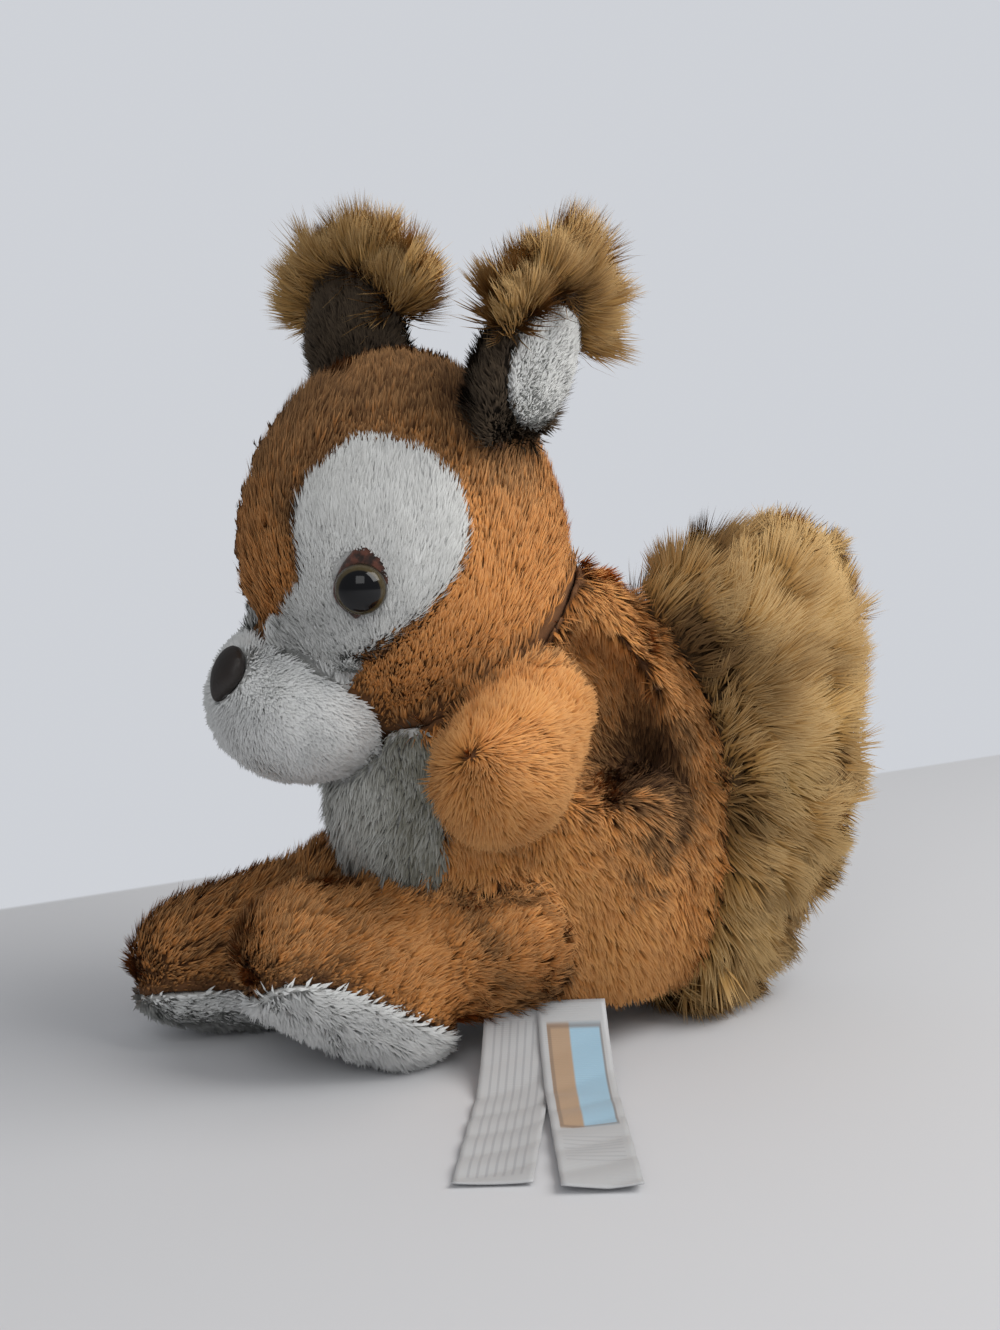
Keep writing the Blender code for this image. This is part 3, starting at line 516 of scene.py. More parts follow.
def pile_tree():
    """Plants strands over the backing, leans them along the nap and draws their tips
    together in clumps."""
    tree = bpy.data.node_groups.new("pile", "GeometryNodeTree")
    face = tree.interface
    face.new_socket(name="Backing", in_out="INPUT", socket_type="NodeSocketGeometry")
    sizes = {
        "Strands per Area": 1e6,
        "Length": 0.009,
        "Width": 0.0006,
        "Stand": 0.6,
        "Clump Size": 0.006,
        "Gather": 0.4,
        "Swirl Size": 0.03,
        "Swirl": 0.5,
        "Ruffle": 0.2,
        "Unevenness": 0.3,
        "Freckle": 1.0,
    }
    named = {}
    for name, value in sizes.items():
        named[name] = face.new_socket(name=name, in_out="INPUT", socket_type="NodeSocketFloat")
        named[name].default_value = value
    named["Strand"] = face.new_socket(name="Strand", in_out="INPUT", socket_type="NodeSocketObject")
    named["Finish"] = face.new_socket(name="Finish", in_out="INPUT", socket_type="NodeSocketMaterial")
    named["Seed"] = face.new_socket(name="Seed", in_out="INPUT", socket_type="NodeSocketInt")
    face.new_socket(name="Pile", in_out="OUTPUT", socket_type="NodeSocketGeometry")
    board = Board(tree)
    entry = board.put("NodeGroupInput")
    given = {name: board.also(entry, name) for name in named}

    def attribute(name, kind):
        return board.put("GeometryNodeInputNamedAttribute", {"data_type": kind}, {"Name": name})

    def chance(low, high, extra):
        values = {2: low, 3: high, "Seed": given["Seed"] + extra}
        return board.put("FunctionNodeRandomValue", {"data_type": "FLOAT"}, values, out=1)

    density = given["Strands per Area"] * attribute("cover", "FLOAT")
    planted = board.put(
        "GeometryNodeDistributePointsOnFaces",
        {"distribute_method": "RANDOM"},
        {"Mesh": entry, "Density": density, "Seed": given["Seed"]},
    )
    outward = board.also(planted, "Normal")
    place = board.put("GeometryNodeInputPosition")
    values = {"Vector": place, "Scale": 1.0 / given["Clump Size"]}
    clump = board.put("ShaderNodeTexVoronoi", {"voronoi_dimensions": "3D"}, values)
    centre = board.also(clump, "Position")
    tint = board.put("ShaderNodeSeparateXYZ", {}, {0: board.also(clump, "Color")})
    gathered = (centre - place) * (given["Gather"] / given["Clump Size"])
    values = {"Vector": place, "Scale": 1.0 / given["Swirl Size"], "Detail": 1.0}
    eddy = board.put("ShaderNodeTexNoise", {"noise_dimensions": "3D"}, values, out="Color")
    values = {0: (-1.0, -1.0, -1.0), 1: (1.0, 1.0, 1.0), "Seed": given["Seed"] + 1.0}
    ruffle = board.put("FunctionNodeRandomValue", {"data_type": "FLOAT_VECTOR"}, values)
    lean = (
        attribute("nap", "FLOAT_VECTOR")
        + outward * given["Stand"]
        + gathered
        + (eddy - (0.5, 0.5, 0.5)) * (given["Swirl"] * 2.0)
        + ruffle * given["Ruffle"]
    )
    lean = board.put("ShaderNodeVectorMath", {"operation": "NORMALIZE"}, {0: lean})
    turn = board.put(
        "FunctionNodeAxesToRotation",
        {"primary_axis": "Z", "secondary_axis": "Y"},
        {0: lean, 1: outward + ruffle * TWIST},
    )
    height = attribute("tall", "FLOAT") * (1.0 - given["Unevenness"] * chance(0.0, 1.0, 2.0))
    height = height * (1.0 - given["Unevenness"] * board.also(tint, 1)) * given["Length"]
    width = given["Width"] * chance(*WIDTH_SPREAD, 3.0)
    size = board.put("ShaderNodeCombineXYZ", {}, {0: width, 1: height, 2: height})
    clumped = (board.also(tint, 0) - 0.5) * CLUMP_FRECKLE
    freckles = chance(-STRAND_FRECKLE, STRAND_FRECKLE, 4.0) + clumped
    shade = attribute("shade", "FLOAT") + freckles * given["Freckle"]
    shade = board.put("ShaderNodeClamp", {}, {"Value": shade, **SHADE_ENDS})
    kept = planted
    rows = {
        "strand_shade": ("FLOAT", shade),
        "outward": ("FLOAT_VECTOR", outward + lean * LEAN_IN_LIGHT),
    }
    for name, (kind, value) in rows.items():
        kept = board.put(
            "GeometryNodeStoreNamedAttribute",
            {"data_type": kind, "domain": "POINT"},
            {"Geometry": kept, "Name": name, "Value": value},
        )
    strand = board.put("GeometryNodeObjectInfo", {}, {"Object": given["Strand"]}, out="Geometry")
    grown = board.put(
        "GeometryNodeInstanceOnPoints",
        {},
        {"Points": kept, "Instance": strand, "Rotation": turn, "Scale": size},
    )
    real = board.put("GeometryNodeRealizeInstances", {}, {0: grown})
    dyed = board.put("GeometryNodeSetMaterial", {}, {"Geometry": real, "Material": given["Finish"]})
    leave = tree.nodes.new("NodeGroupOutput")
    tree.links.new(dyed.end, leave.inputs[0])
    return tree, {name: socket.identifier for name, socket in named.items()}


PILE, PILE_SOCKETS = pile_tree()
STRAND = piece("strand", kite())
FLOOR_GAP = 0.0003
SIDE_STEP = 0.012
SHADE_EDGE = 0.001
LENGTH_EDGE = 0.004


def grow(cloth, name, finish, strands, seed, **sizes):
    """Grows a number of strands on a backing and gives them as one plain mesh. Its map goes
    across from dark strands to light ones, and along from root to tip."""
    mesh = cloth.data
    cover = attribute_of(mesh, "cover")
    area = sum(face.area * cover[list(face.vertices)].mean() for face in mesh.polygons)
    pile = piece(name, mesh.copy())
    step = pile.modifiers.new("pile", "NODES")
    step.node_group = PILE
    values = {socket.replace("_", " ").title(): value for socket, value in sizes.items()}
    values.update({"Strands per Area": strands / area, "Strand": STRAND, "Finish": finish, "Seed": seed})
    for socket, value in values.items():
        step[PILE_SOCKETS[socket]] = value
    settled(pile)
    mesh = pile.data
    points = table_of(mesh)
    points[:, 2] = np.maximum(points[:, 2], FLOOR_GAP)
    mesh.vertices.foreach_set("co", points.astype(np.float32).ravel())
    corners = np.zeros(len(mesh.loops), np.int32)
    mesh.loops.foreach_get("vertex_index", corners)
    across = attribute_of(mesh, "strand_shade") + attribute_of(mesh, "aside") * SIDE_STEP
    across = np.clip(across, SHADE_EDGE, 1 - SHADE_EDGE)
    along = np.clip(attribute_of(mesh, "along"), LENGTH_EDGE, 1 - LENGTH_EDGE)
    sheet = np.stack([across, along], axis=1)
    for layer in list(mesh.uv_layers):
        mesh.uv_layers.remove(layer)
    mesh.uv_layers.new(name="OFBake").data.foreach_set("uv", sheet[corners].astype(np.float32).ravel())
    outward = np.zeros(len(points) * 3, np.float32)
    mesh.attributes["outward"].data.foreach_get("vector", outward)
    outward = unit(outward.reshape(-1, 3))
    for key in ("strand_shade", "along", "aside", "outward", "nap", "cover", "tall", "shade", "shelter"):
        layer = mesh.attributes.get(key)
        if layer:
            mesh.attributes.remove(layer)
    mesh.shade_smooth()
    mesh.normals_split_custom_set_from_vertices(outward)
    return pile


def pile_finish(name, shades, root_share, tip, tip_share, sheen=0.25):
    """Dyed plush pile. Across its map it goes from dark strands to light ones, and along it
    from their roots to their tips."""
    dye = Finish(
        name, Roughness=0.82, Specular_IOR_Level=0.18, Sheen_Weight=sheen, Sheen_Roughness=0.4,
        Sheen_Tint=(*tip, 1.0),
    )
    spot = dye.put("ShaderNodeUVMap", {"uv_map": "OFBake"})
    parts = dye.put("ShaderNodeSeparateXYZ", {}, {0: spot})
    along = dye.also(parts, 1)
    body = dye.put("ShaderNodeValToRGB", {"stops": shades}, {"Fac": parts})
    dark = dye.mix(1.0 - root_share, body, (0.0, 0.0, 0.0))
    risen = dye.mix(dye.rise(along, 0.0, 0.62), dark, body)
    paled = dye.rise(along, 0.45, 1.1) * dye.rise(parts, -0.10, 0.55) * tip_share
    return dye.feed(Base_Color=dye.mix(paled, risen, tip))


def cloth_finish(name, colour):
    """Knitted backing cloth seen between the strands."""
    dye = Finish(name, Roughness=0.95)
    place = dye.put("ShaderNodeTexCoord", out="Object")
    knit = dye.put("ShaderNodeTexNoise", {}, {"Vector": place, "Scale": 900.0})
    dark = tuple(part * 0.6 for part in colour)
    return dye.feed(Base_Color=dye.mix(knit, dark, colour), Normal=dye.bump(knit, 0.4, 0.0004))


WHITE = [
    (0.00, (0.50, 0.50, 0.485)),
    (0.45, (0.70, 0.705, 0.69)),
    (1.00, (0.84, 0.845, 0.83)),
]
WHITE_PILE = pile_finish("white_pile", WHITE, 0.85, (0.86, 0.865, 0.85), 0.5, sheen=0.03)
WHITE_CLOTH = cloth_finish("white_cloth", (0.70, 0.70, 0.68))
BROWN_PILE = pile_finish("brown_pile", BROWN, 0.52, BROWN_TIP, 0.50, sheen=0.10)
BROWN_CLOTH = cloth_finish("brown_cloth", (0.20, 0.085, 0.030))


def dress(cloth, pile, node, finish):
    """Puts a backing and its pile in the CAD node's place."""
    cloth.data.materials.clear()
    cloth.data.materials.append(finish)
    for layer in ("cover", "nap", "shade", "tall", "shelter"):
        cloth.data.attributes.remove(cloth.data.attributes[layer])
    for made in (cloth, pile):
        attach(made, "root")
    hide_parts(node)


def swept_up(points):
    """Pile brushed up the face and back over the head, and a little inwards."""
    across = np.array(HEAD_UP.cross(FACE_WAY))
    side = np.tanh((points - np.array(HEAD_MIDDLE)) @ across / FACE_SPLIT)
    return np.array(HEAD_UP - FACE_WAY * SWEPT_BACK) - SWEPT_IN * side[:, None] * across


def make_head():
    cloth = backing("head", "head_cloth", voxel=0.0032, inset=0.0045)
    boxes = map(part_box, ("ear_left", "ear_right"))
    ears = [(low + high) / 2 - HEAD_UP * EAR_FOOT + FACE_WAY * EAR_AHEAD for low, high in boxes]

    def shade(points, normals):
        reach = points - np.array(HEAD_MIDDLE)
        crown = ramp(reach @ np.array(HEAD_UP), 0.022, 0.040)
        front = ramp(reach @ np.array(FACE_WAY), 0.010, 0.040)
        light = HEAD_TONE - CROWN_DARKER * crown - FACE_DARKER * front
        for ear in ears:
            light -= EARS_DARKER * near(points, ear, 0.022)
        light += KNOT_PALER * near(points, BROW, 0.0028)
        # The dark ring round the knot is painted shadow.
        return light - KNOT_PAINTED_SHADOW * near(points, BROW, 0.0075)

    seams = [walls_of(["muzzle"]), walls_of(["eye_patch_left", "eye_patch_right"])]
    places = [Vector(point) for point in table_of(cloth.data)]
    gaps = np.array([[seam.find_nearest(place)[3] for seam in seams] for place in places])
    bridge = (gaps.sum(axis=1) < BRIDGE_REACH).astype(float)
    cropped = np.clip(gaps.min(axis=1) / CROP_REACH, CROP_LEAST, 1.0)

    white = piece("head_bridge", cloth.data.copy())
    comb(white, swept_up, tall=lambda points, normals: bridge)
    white_pile = grow(
        white, "head_bridge_pile", WHITE_PILE, strands=5000, seed=12, length=0.0080, width=0.00095,
        stand=0.6, clump_size=0.0035, gather=0.25, swirl_size=0.020, swirl=0.35, ruffle=0.25,
        unevenness=0.20,
    )
    bpy.data.objects.remove(white, do_unlink=True)
    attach(white_pile, "root")

    def tall(points, normals):
        reach = points - np.array(HEAD_MIDDLE)
        aside = reach @ np.array(HEAD_UP.cross(FACE_WAY))
        ridge = np.exp(-((aside / RIDGE_WIDTH) ** 2)) * (reach @ np.array(FACE_WAY) > 0.02)
        return (1.0 - bridge) * cropped * (1.0 + RIDGE_TALLER * ridge)

    comb(cloth, swept_up, shade, tall, painted_fold_shade=0.30)
    pile = grow(
        cloth, "head_pile", BROWN_PILE, strands=66000, seed=11, length=0.0090, width=0.00084,
        stand=0.46, clump_size=0.0030, gather=0.18, swirl_size=0.022, swirl=0.40, ruffle=0.20,
        unevenness=0.25, freckle=0.7,
    )
    dress(cloth, pile, "head", BROWN_CLOTH)
    cloth.data.materials.append(WHITE_CLOTH)
    for face in cloth.data.polygons:
        face.material_index = int(bridge[list(face.vertices)].mean() > 0.5)


make_head()

# Muzzle and the panels round the eyes: white plush with a shorter, denser pile. The panels
# are sewn into the head, and the muzzle is a stuffed ball sewn over its lower front.
# Painted light: the muzzle is made lighter than the panels' same white plush.
MUZZLE_TONE_WITH_PAINTED_LIGHT = 0.85
MUZZLE_PARTING = 0.006
# Painted shade: the panels are made darker than the muzzle's same white plush.
PANEL_TONE_WITH_PAINTED_SHADE = 0.22
PANEL_SHARE = 0.95
PANEL_STRANDS = {"left": 15000, "right": 7500}
PANEL_DEPTH = {"left": 0.0024, "right": 0.0070}
EYE_DROP = 0.0018
BALD_REACH = 0.0074
BALD_RAISED = 0.004
RIM_TALL = 0.55
RIM_RISE = 0.45


def make_muzzle():
    cloth = backing("muzzle", "muzzle_cloth", voxel=0.0022, inset=0.0022)
    nose_low, nose_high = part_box("nose")
    nap = from_point((nose_low + nose_high) / 2 - FACE_WAY * MUZZLE_PARTING)
    comb(cloth, nap, plain(MUZZLE_TONE_WITH_PAINTED_LIGHT), painted_fold_shade=0.0)
    pile = grow(
        cloth, "muzzle_pile", WHITE_PILE, strands=25000, seed=21, length=0.0052, width=0.00110,
        stand=0.60, clump_size=0.0030, gather=0.12, swirl_size=0.014, swirl=0.6, ruffle=0.3,
        unevenness=0.18, freckle=0.6,
    )
    dress(cloth, pile, "muzzle", WHITE_CLOTH)


make_muzzle()


def make_eye_panel(side, seed):
    node = f"eye_patch_{side}"
    cloth = backing(node, f"{node}_cloth", voxel=0.0018, inset=0.0, passes=3)
    low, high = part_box(node)
    middle = (low + high) / 2
    inward = ((HEAD_MIDDLE - middle).normalized()) * PANEL_DEPTH[side]
    drawn_in = Matrix.Translation(middle + inward) @ Matrix.Scale(PANEL_SHARE, 4)
    cloth.data.transform(drawn_in @ Matrix.Translation(-middle))
    eye_low, eye_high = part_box(f"eye_{side}")
    eye = np.array((eye_low + eye_high) / 2 - HEAD_UP * EYE_DROP)

    def tall(points, normals):
        aside = points - eye
        raised = BALD_RAISED * np.clip(aside @ np.array(HEAD_UP) / 0.010, -0.5, 1)
        reach = np.linalg.norm(aside, axis=1) - raised
        return np.where(reach < BALD_REACH, 0.0, RIM_TALL + RIM_RISE * ramp(reach, 0.0079, 0.008))

    comb(cloth, swept_up, plain(PANEL_TONE_WITH_PAINTED_SHADE), tall, painted_fold_shade=0.0)
    pile = grow(
        cloth, f"{node}_pile", WHITE_PILE, strands=PANEL_STRANDS[side], seed=seed, length=0.0078,
        width=0.00082, stand=0.50, clump_size=0.0035, gather=0.22, swirl_size=0.020, swirl=0.45,
        ruffle=0.28, unevenness=0.20, freckle=0.7,
    )
    dress(cloth, pile, node, WHITE_CLOTH)


make_eye_panel("left", 31)
make_eye_panel("right", 32)

# Eyes: a clear domed button with a black pupil and a thin olive-brown iris, over an almond
# of dark brown felt. The stem goes through the felt and the panel.
EYE_RADIUS = 0.0084
EYE_DOME = 0.0066
EYE_SIDES = 64
EYE_RINGS = 14
EYE_EDGE = ((0.0020, 1.0), (0.0022, 0.96))
PUPIL_SHARE = 0.80
FELT_HEIGHT = 0.031
FELT_WIDTH = 0.0185
FELT_SLANT = 0.0034
FELT_DROP = 0.0112
FELT_POINTED = 2.4
FELT_SIDES = 48
FELT_RINGS = ((1.0, -0.0034), (1.0, -0.0018), (0.94, -0.0008), (0.6, 0.0))
FELT_CURVE = 12


def eye_frame(side):
    """The eye's place from its CAD solid: its stem's end and its dome's crown are the two
    points that lie furthest apart."""
    points = table_of(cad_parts[f"eye_{side}"].data)
    apart = np.linalg.norm(points[:, None] - points[None, :], axis=2)
    ends = [Vector(points[at]) for at in np.unravel_index(apart.argmax(), apart.shape)]
    crown, stem = sorted(ends, key=lambda end: (end - HEAD_MIDDLE).length, reverse=True)
    out = (crown - stem).normalized()
    up = (HEAD_UP - out * HEAD_UP.dot(out)).normalized()
    turn = Matrix((up.cross(out), up, out)).transposed().to_4x4()
    return crown - up * EYE_DROP - out * (PANEL_DEPTH[side] - PANEL_DEPTH["left"]), turn


def iris_finish():
    """The painted disc under the dome: black, then olive-brown towards its rim."""
    glass = Finish(
        "eye_plastic", Roughness=0.09, Specular_IOR_Level=0.22, Coat_Weight=0.25, Coat_Roughness=0.03
    )
    spot = glass.put("ShaderNodeSeparateXYZ", {}, {0: glass.put("ShaderNodeUVMap", {"uv_map": "disc"})})
    rim = glass.rise(spot, PUPIL_SHARE - 0.03, PUPIL_SHARE + 0.04)
    place = glass.put("ShaderNodeTexCoord", out="Object")
    grain = glass.put("ShaderNodeTexNoise", {}, {"Vector": place, "Scale": 700.0})
    iris = glass.mix(grain, (0.038, 0.028, 0.012), (0.085, 0.064, 0.030))
    edge = glass.mix(glass.rise(spot, 0.93, 1.0), iris, (0.02, 0.014, 0.008))
    return glass.feed(Base_Color=glass.mix(rim, (0.0045, 0.0045, 0.0055), edge))


EYE_FINISH = iris_finish()


def felt_finish():
    felt = Finish("eye_felt", Roughness=0.95, Sheen_Weight=0.3)
    place = felt.put("ShaderNodeTexCoord", out="Object")
    fluff = felt.put("ShaderNodeTexNoise", {}, {"Vector": place, "Scale": 420.0, "Detail": 6.0})
    return felt.feed(
        Base_Color=felt.mix(felt.rise(fluff, 0.35, 0.7), (0.020, 0.009, 0.006), (0.105, 0.034, 0.020)),
        Normal=felt.bump(fluff, 0.8, 0.0008),
    )


FELT_FINISH = felt_finish()


def make_dome(side, place):
    """The clear button, with a map of how far each point is from its middle."""

    def ring(reach, high):
        turns = [2 * math.pi * turned / EYE_SIDES for turned in range(EYE_SIDES)]
        return [(reach * math.cos(angle), reach * math.sin(angle), high) for angle in turns]

    points, shares = [(0.0, 0.0, 0.0)], [0.0]
    for step in range(1, EYE_RINGS + 1):
        rise = math.pi / 2 * (1 - step / EYE_RINGS)
        points += ring(EYE_RADIUS * math.cos(rise), EYE_DOME * (math.sin(rise) - 1))
        shares += [math.cos(rise)] * EYE_SIDES
    for drop, share in EYE_EDGE:
        points += ring(EYE_RADIUS * share, -EYE_DOME - drop)
        shares += [1.0] * EYE_SIDES
    points.append((0.0, 0.0, points[-1][2]))
    shares.append(1.0)
    faces = [(0, 1 + turned, 1 + (turned + 1) % EYE_SIDES) for turned in range(EYE_SIDES)]
    for step in range(EYE_RINGS + 1):
        first, second = 1 + step * EYE_SIDES, 1 + (step + 1) * EYE_SIDES
        for turned in range(EYE_SIDES):
            after = (turned + 1) % EYE_SIDES
            faces.append((first + turned, second + turned, second + after, first + after))
    last = len(points) - 1
    base = last - EYE_SIDES
    faces += [(last, base + (turned + 1) % EYE_SIDES, base + turned) for turned in range(EYE_SIDES)]
    mesh = bpy.data.meshes.new(f"eye_{side}_dome")
    mesh.from_pydata(points, [], faces)
    layer = mesh.uv_layers.new(name="disc")
    for loop in mesh.loops:
        layer.data[loop.index].uv = (shares[loop.vertex_index], 0.5)
    mesh.transform(place)
    mesh.materials.append(EYE_FINISH)
    mesh.shade_smooth()
    dome = piece(f"eye_{side}_dome", mesh)
    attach(dome, "root")
    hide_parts(f"eye_{side}")


def make_felt(side, place):
    """The almond behind the button, pointed above it and shorter below it."""
    edge = []
    for turned in range(FELT_SIDES):
        angle = 2 * math.pi * turned / FELT_SIDES
        across = math.cos(angle)
        narrow = FELT_WIDTH / 2 * math.copysign(abs(across) ** FELT_POINTED, across)
        high = math.sin(angle) * (FELT_HEIGHT / 2 if angle < math.pi else FELT_DROP)
        edge.append((narrow + FELT_SLANT * math.sin(angle), high + EYE_DROP * 0.5))
    depth = -EYE_DOME + 0.0004
    points, faces = [], []
    for share, lift in FELT_RINGS:
        for x, y in edge:
            bent = depth + lift - FELT_CURVE * (x * x + y * y) * share**2
            points.append((x * share, y * share, bent))
    for step in range(len(FELT_RINGS) - 1):
        first, second = step * FELT_SIDES, (step + 1) * FELT_SIDES
        for at in range(FELT_SIDES):
            after = (at + 1) % FELT_SIDES
            faces.append((first + at, first + after, second + after, second + at))
    front, back = len(points), len(points) + 1
    inner = front - FELT_SIDES
    points += [(0, 0, depth), (0, 0, depth + FELT_RINGS[0][1])]
    faces += [(inner + at, inner + (at + 1) % FELT_SIDES, front) for at in range(FELT_SIDES)]
    faces += [((at + 1) % FELT_SIDES, at, back) for at in range(FELT_SIDES)]
    mesh = bpy.data.meshes.new(f"eye_{side}_felt")
    mesh.from_pydata(points, [], faces)
    mesh.transform(place)
    mesh.materials.append(FELT_FINISH)
    mesh.shade_smooth()
    felt = piece(f"eye_{side}_felt", mesh)
    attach(felt, "root")


for side in ("left", "right"):
    eye_crown, eye_turn = eye_frame(side)
    make_dome(side, Matrix.Translation(eye_crown) @ eye_turn)
    make_felt(side, Matrix.Translation(eye_crown) @ eye_turn)

# Nose: one moulded piece of dark brown plastic with a dull leathery skin. It and the eyes
# are held by white ring washers inside the face.
NOSE_VOXEL = 0.0007
NOSE_NARROW = 0.86
NOSE_FLAT = 0.82
NOSE_TAPER = 0.68
NOSE_ASIDE = 0.0012
NOSE_TILT = 0.35
NOSE_POINTED = 1.5


def make_nose():
    shell = evened(copy_of("nose", "nose_shell"), NOSE_VOXEL, passes=6)
    low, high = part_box("nose")
    middle = (low + high) / 2
    out = (FACE_WAY + HEAD_UP * NOSE_TILT).normalized()
    aside = HEAD_UP.cross(out).normalized()
    up = out.cross(aside)
    for point in shell.data.vertices:
        reach = point.co - middle
        across, rise, ahead = reach.dot(aside), reach.dot(up), reach.dot(out)
        taper = 1 - NOSE_TAPER * min(max(-rise / 0.010, 0.0), 1.0) ** NOSE_POINTED
        across, ahead = across * NOSE_NARROW * taper + NOSE_ASIDE, ahead * NOSE_FLAT
        point.co = middle + aside * across + up * rise + out * ahead
    shell.data.shade_smooth()
    hide = Finish("nose_plastic", Roughness=0.5, Coat_Weight=0.06, Coat_Roughness=0.3)
    place = hide.put("ShaderNodeTexCoord", out="Object")
    pebble = hide.put("ShaderNodeTexVoronoi", {"feature": "SMOOTH_F1"}, {"Vector": place, "Scale": 1100.0})
    cloud = hide.put("ShaderNodeTexNoise", {}, {"Vector": place, "Scale": 160.0})
    shell.data.materials.clear()
    shell.data.materials.append(
        hide.feed(
            Base_Color=hide.mix(cloud, (0.010, 0.007, 0.006), (0.026, 0.017, 0.013)),
            Normal=hide.bump(pebble, 0.25, 0.0003),
        )
    )
    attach(shell, "root")
    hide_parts("nose")


make_nose()


def make_washers():
    hard = Finish("washer_plastic", Roughness=0.4)
    place = hard.put("ShaderNodeTexCoord", out="Object")
    mottle = hard.put("ShaderNodeTexNoise", {}, {"Vector": place, "Scale": 300.0})
    finish = hard.feed(Base_Color=hard.mix(mottle, (0.66, 0.66, 0.63), (0.74, 0.74, 0.72)))
    for node in ("eye_washer_left", "eye_washer_right", "nose_washer"):
        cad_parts[node].data.materials.clear()
        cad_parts[node].data.materials.append(finish)


make_washers()

# Ears: thick leaves of dark grey-brown plush with a white velour lining, edged round the top
# with a fringe of long tan hair that is darker at its roots.
DARK = [
    (0.00, (0.022, 0.016, 0.011)),
    (0.50, (0.060, 0.043, 0.029)),
    (1.00, (0.150, 0.105, 0.065)),
]
TAN = [
    (0.00, (0.09, 0.045, 0.016)),
    (0.40, (0.36, 0.190, 0.055)),
    (0.75, (0.54, 0.320, 0.105)),
    (1.00, (0.72, 0.500, 0.240)),
]
DARK_PILE = pile_finish("dark_pile", DARK, 0.35, (0.20, 0.145, 0.09), 0.35)
DARK_CLOTH = cloth_finish("dark_cloth", (0.030, 0.020, 0.012))
TAN_PILE = pile_finish("tan_pile", TAN, 0.55, (0.76, 0.56, 0.29), 0.60, sheen=0.03)
TAN_CLOTH = cloth_finish("tan_cloth", (0.14, 0.075, 0.028))
LINING_TONE = 0.8


def make_ear(side, seed):
    low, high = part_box(f"ear_{side}")
    middle = (low + high) / 2
    foot = middle - HEAD_UP * 0.040
    cloth = backing(f"ear_{side}", f"ear_{side}_cloth", voxel=0.0018, inset=0.0026, passes=8)
    comb(cloth, from_point(foot))
    pile = grow(
        cloth, f"ear_{side}_pile", DARK_PILE, strands=7000, seed=seed, length=0.0085, width=0.0007,
        stand=0.7, clump_size=0.004, gather=0.4, swirl_size=0.012, swirl=0.8, ruffle=0.35,
        unevenness=0.3,
    )
    dress(cloth, pile, f"ear_{side}", DARK_CLOTH)

    node = f"ear_lining_{side}"
    cloth = backing(node, f"{node}_cloth", voxel=0.0014, inset=0.0, passes=2)
    comb(cloth, from_point(foot), plain(LINING_TONE))
    pile = grow(
        cloth, f"{node}_pile", WHITE_PILE, strands=5000, seed=seed + 1, length=0.0036, width=0.0007,
        stand=0.8, clump_size=0.003, gather=0.3, swirl_size=0.015, swirl=0.3, ruffle=0.3,
        unevenness=0.2,
    )
    dress(cloth, pile, node, WHITE_CLOTH)

    node = f"ear_tuft_{side}"
    cloth = backing(node, f"{node}_cloth", voxel=0.0016, inset=0.0045, passes=6, reach=0.0012)
    comb(cloth, from_point(middle + HEAD_UP * 0.002), painted_fold_shade=0.3)
    pile = grow(
        cloth, f"{node}_pile", TAN_PILE, strands=16000, seed=seed + 2, length=0.027, width=0.00050,
        stand=0.40, clump_size=0.007, gather=0.40, swirl_size=0.018, swirl=0.7, ruffle=0.16,
        unevenness=0.55,
    )
    dress(cloth, pile, node, TAN_CLOTH)


make_ear("left", 41)
make_ear("right", 45)

# Body: a slack glove of the same brown plush. Its empty side caves in behind the arm under a
# padded rim with painted light on it, and the pile in the hollow is mottled and has painted shade.
HOLLOW = (-0.005, 0.046, 0.102)
FLANK = (0.009, 0.050, 0.074)
SLACK_REACH = 0.021
RIM_START = 0.058
CURL_SCALE = 210.0
BODY_TONE = 0.64
HOLLOW_PAINTED_SHADE = 0.66
FLANK_PAINTED_SHADE = 0.30
FLANK_CURLS = 0.60
BODY_CURLS = 0.12
RIM_PAINTED_LIGHT = 0.12


def make_body():
    cloth = backing("body", "body_cloth", voxel=0.0031, inset=0.0045)

    def shade(points, normals):
        curls = np.array([noise.noise(Vector(point) * CURL_SCALE) for point in points])
        # Painted light along the rim, and painted shade in the hollow and along the flank's crease.
        light = BODY_TONE + RIM_PAINTED_LIGHT * ramp(points[:, 1], RIM_START, 0.010) + BODY_CURLS * curls
        light -= HOLLOW_PAINTED_SHADE * near(points, HOLLOW, SLACK_REACH)
        return light + near(points, FLANK, SLACK_REACH) * (FLANK_CURLS * curls - FLANK_PAINTED_SHADE)

    comb(cloth, lying(0.0, 0.30, -1.0), shade, painted_fold_shade=0.5)
    pile = grow(
        cloth, "body_pile", BROWN_PILE, strands=62000, seed=51, length=0.0100, width=0.00090,
        stand=0.65, clump_size=0.0045, gather=0.42, swirl_size=0.020, swirl=0.8, ruffle=0.24,
        unevenness=0.25, freckle=0.8,
    )
    dress(cloth, pile, "body", BROWN_CLOTH)


make_body()

# Bib: a panel of white plush sewn into the front of the body. Its pile lies downwards, and
# painted shade makes it greyer towards its sides, where it runs back under the arms.
# The dark end of this ramp is the colour of the painted shade.
BIB = [(0.0, (0.20, 0.19, 0.145)), (1.0, (0.82, 0.825, 0.78))]
BIB_PILE = pile_finish("bib_pile", BIB, 0.8, (0.84, 0.845, 0.81), 0.4, sheen=0.0)
BIB_BACK = 0.0020
BIB_TONE = 0.75
BIB_PAINTED_SHADE = 0.62


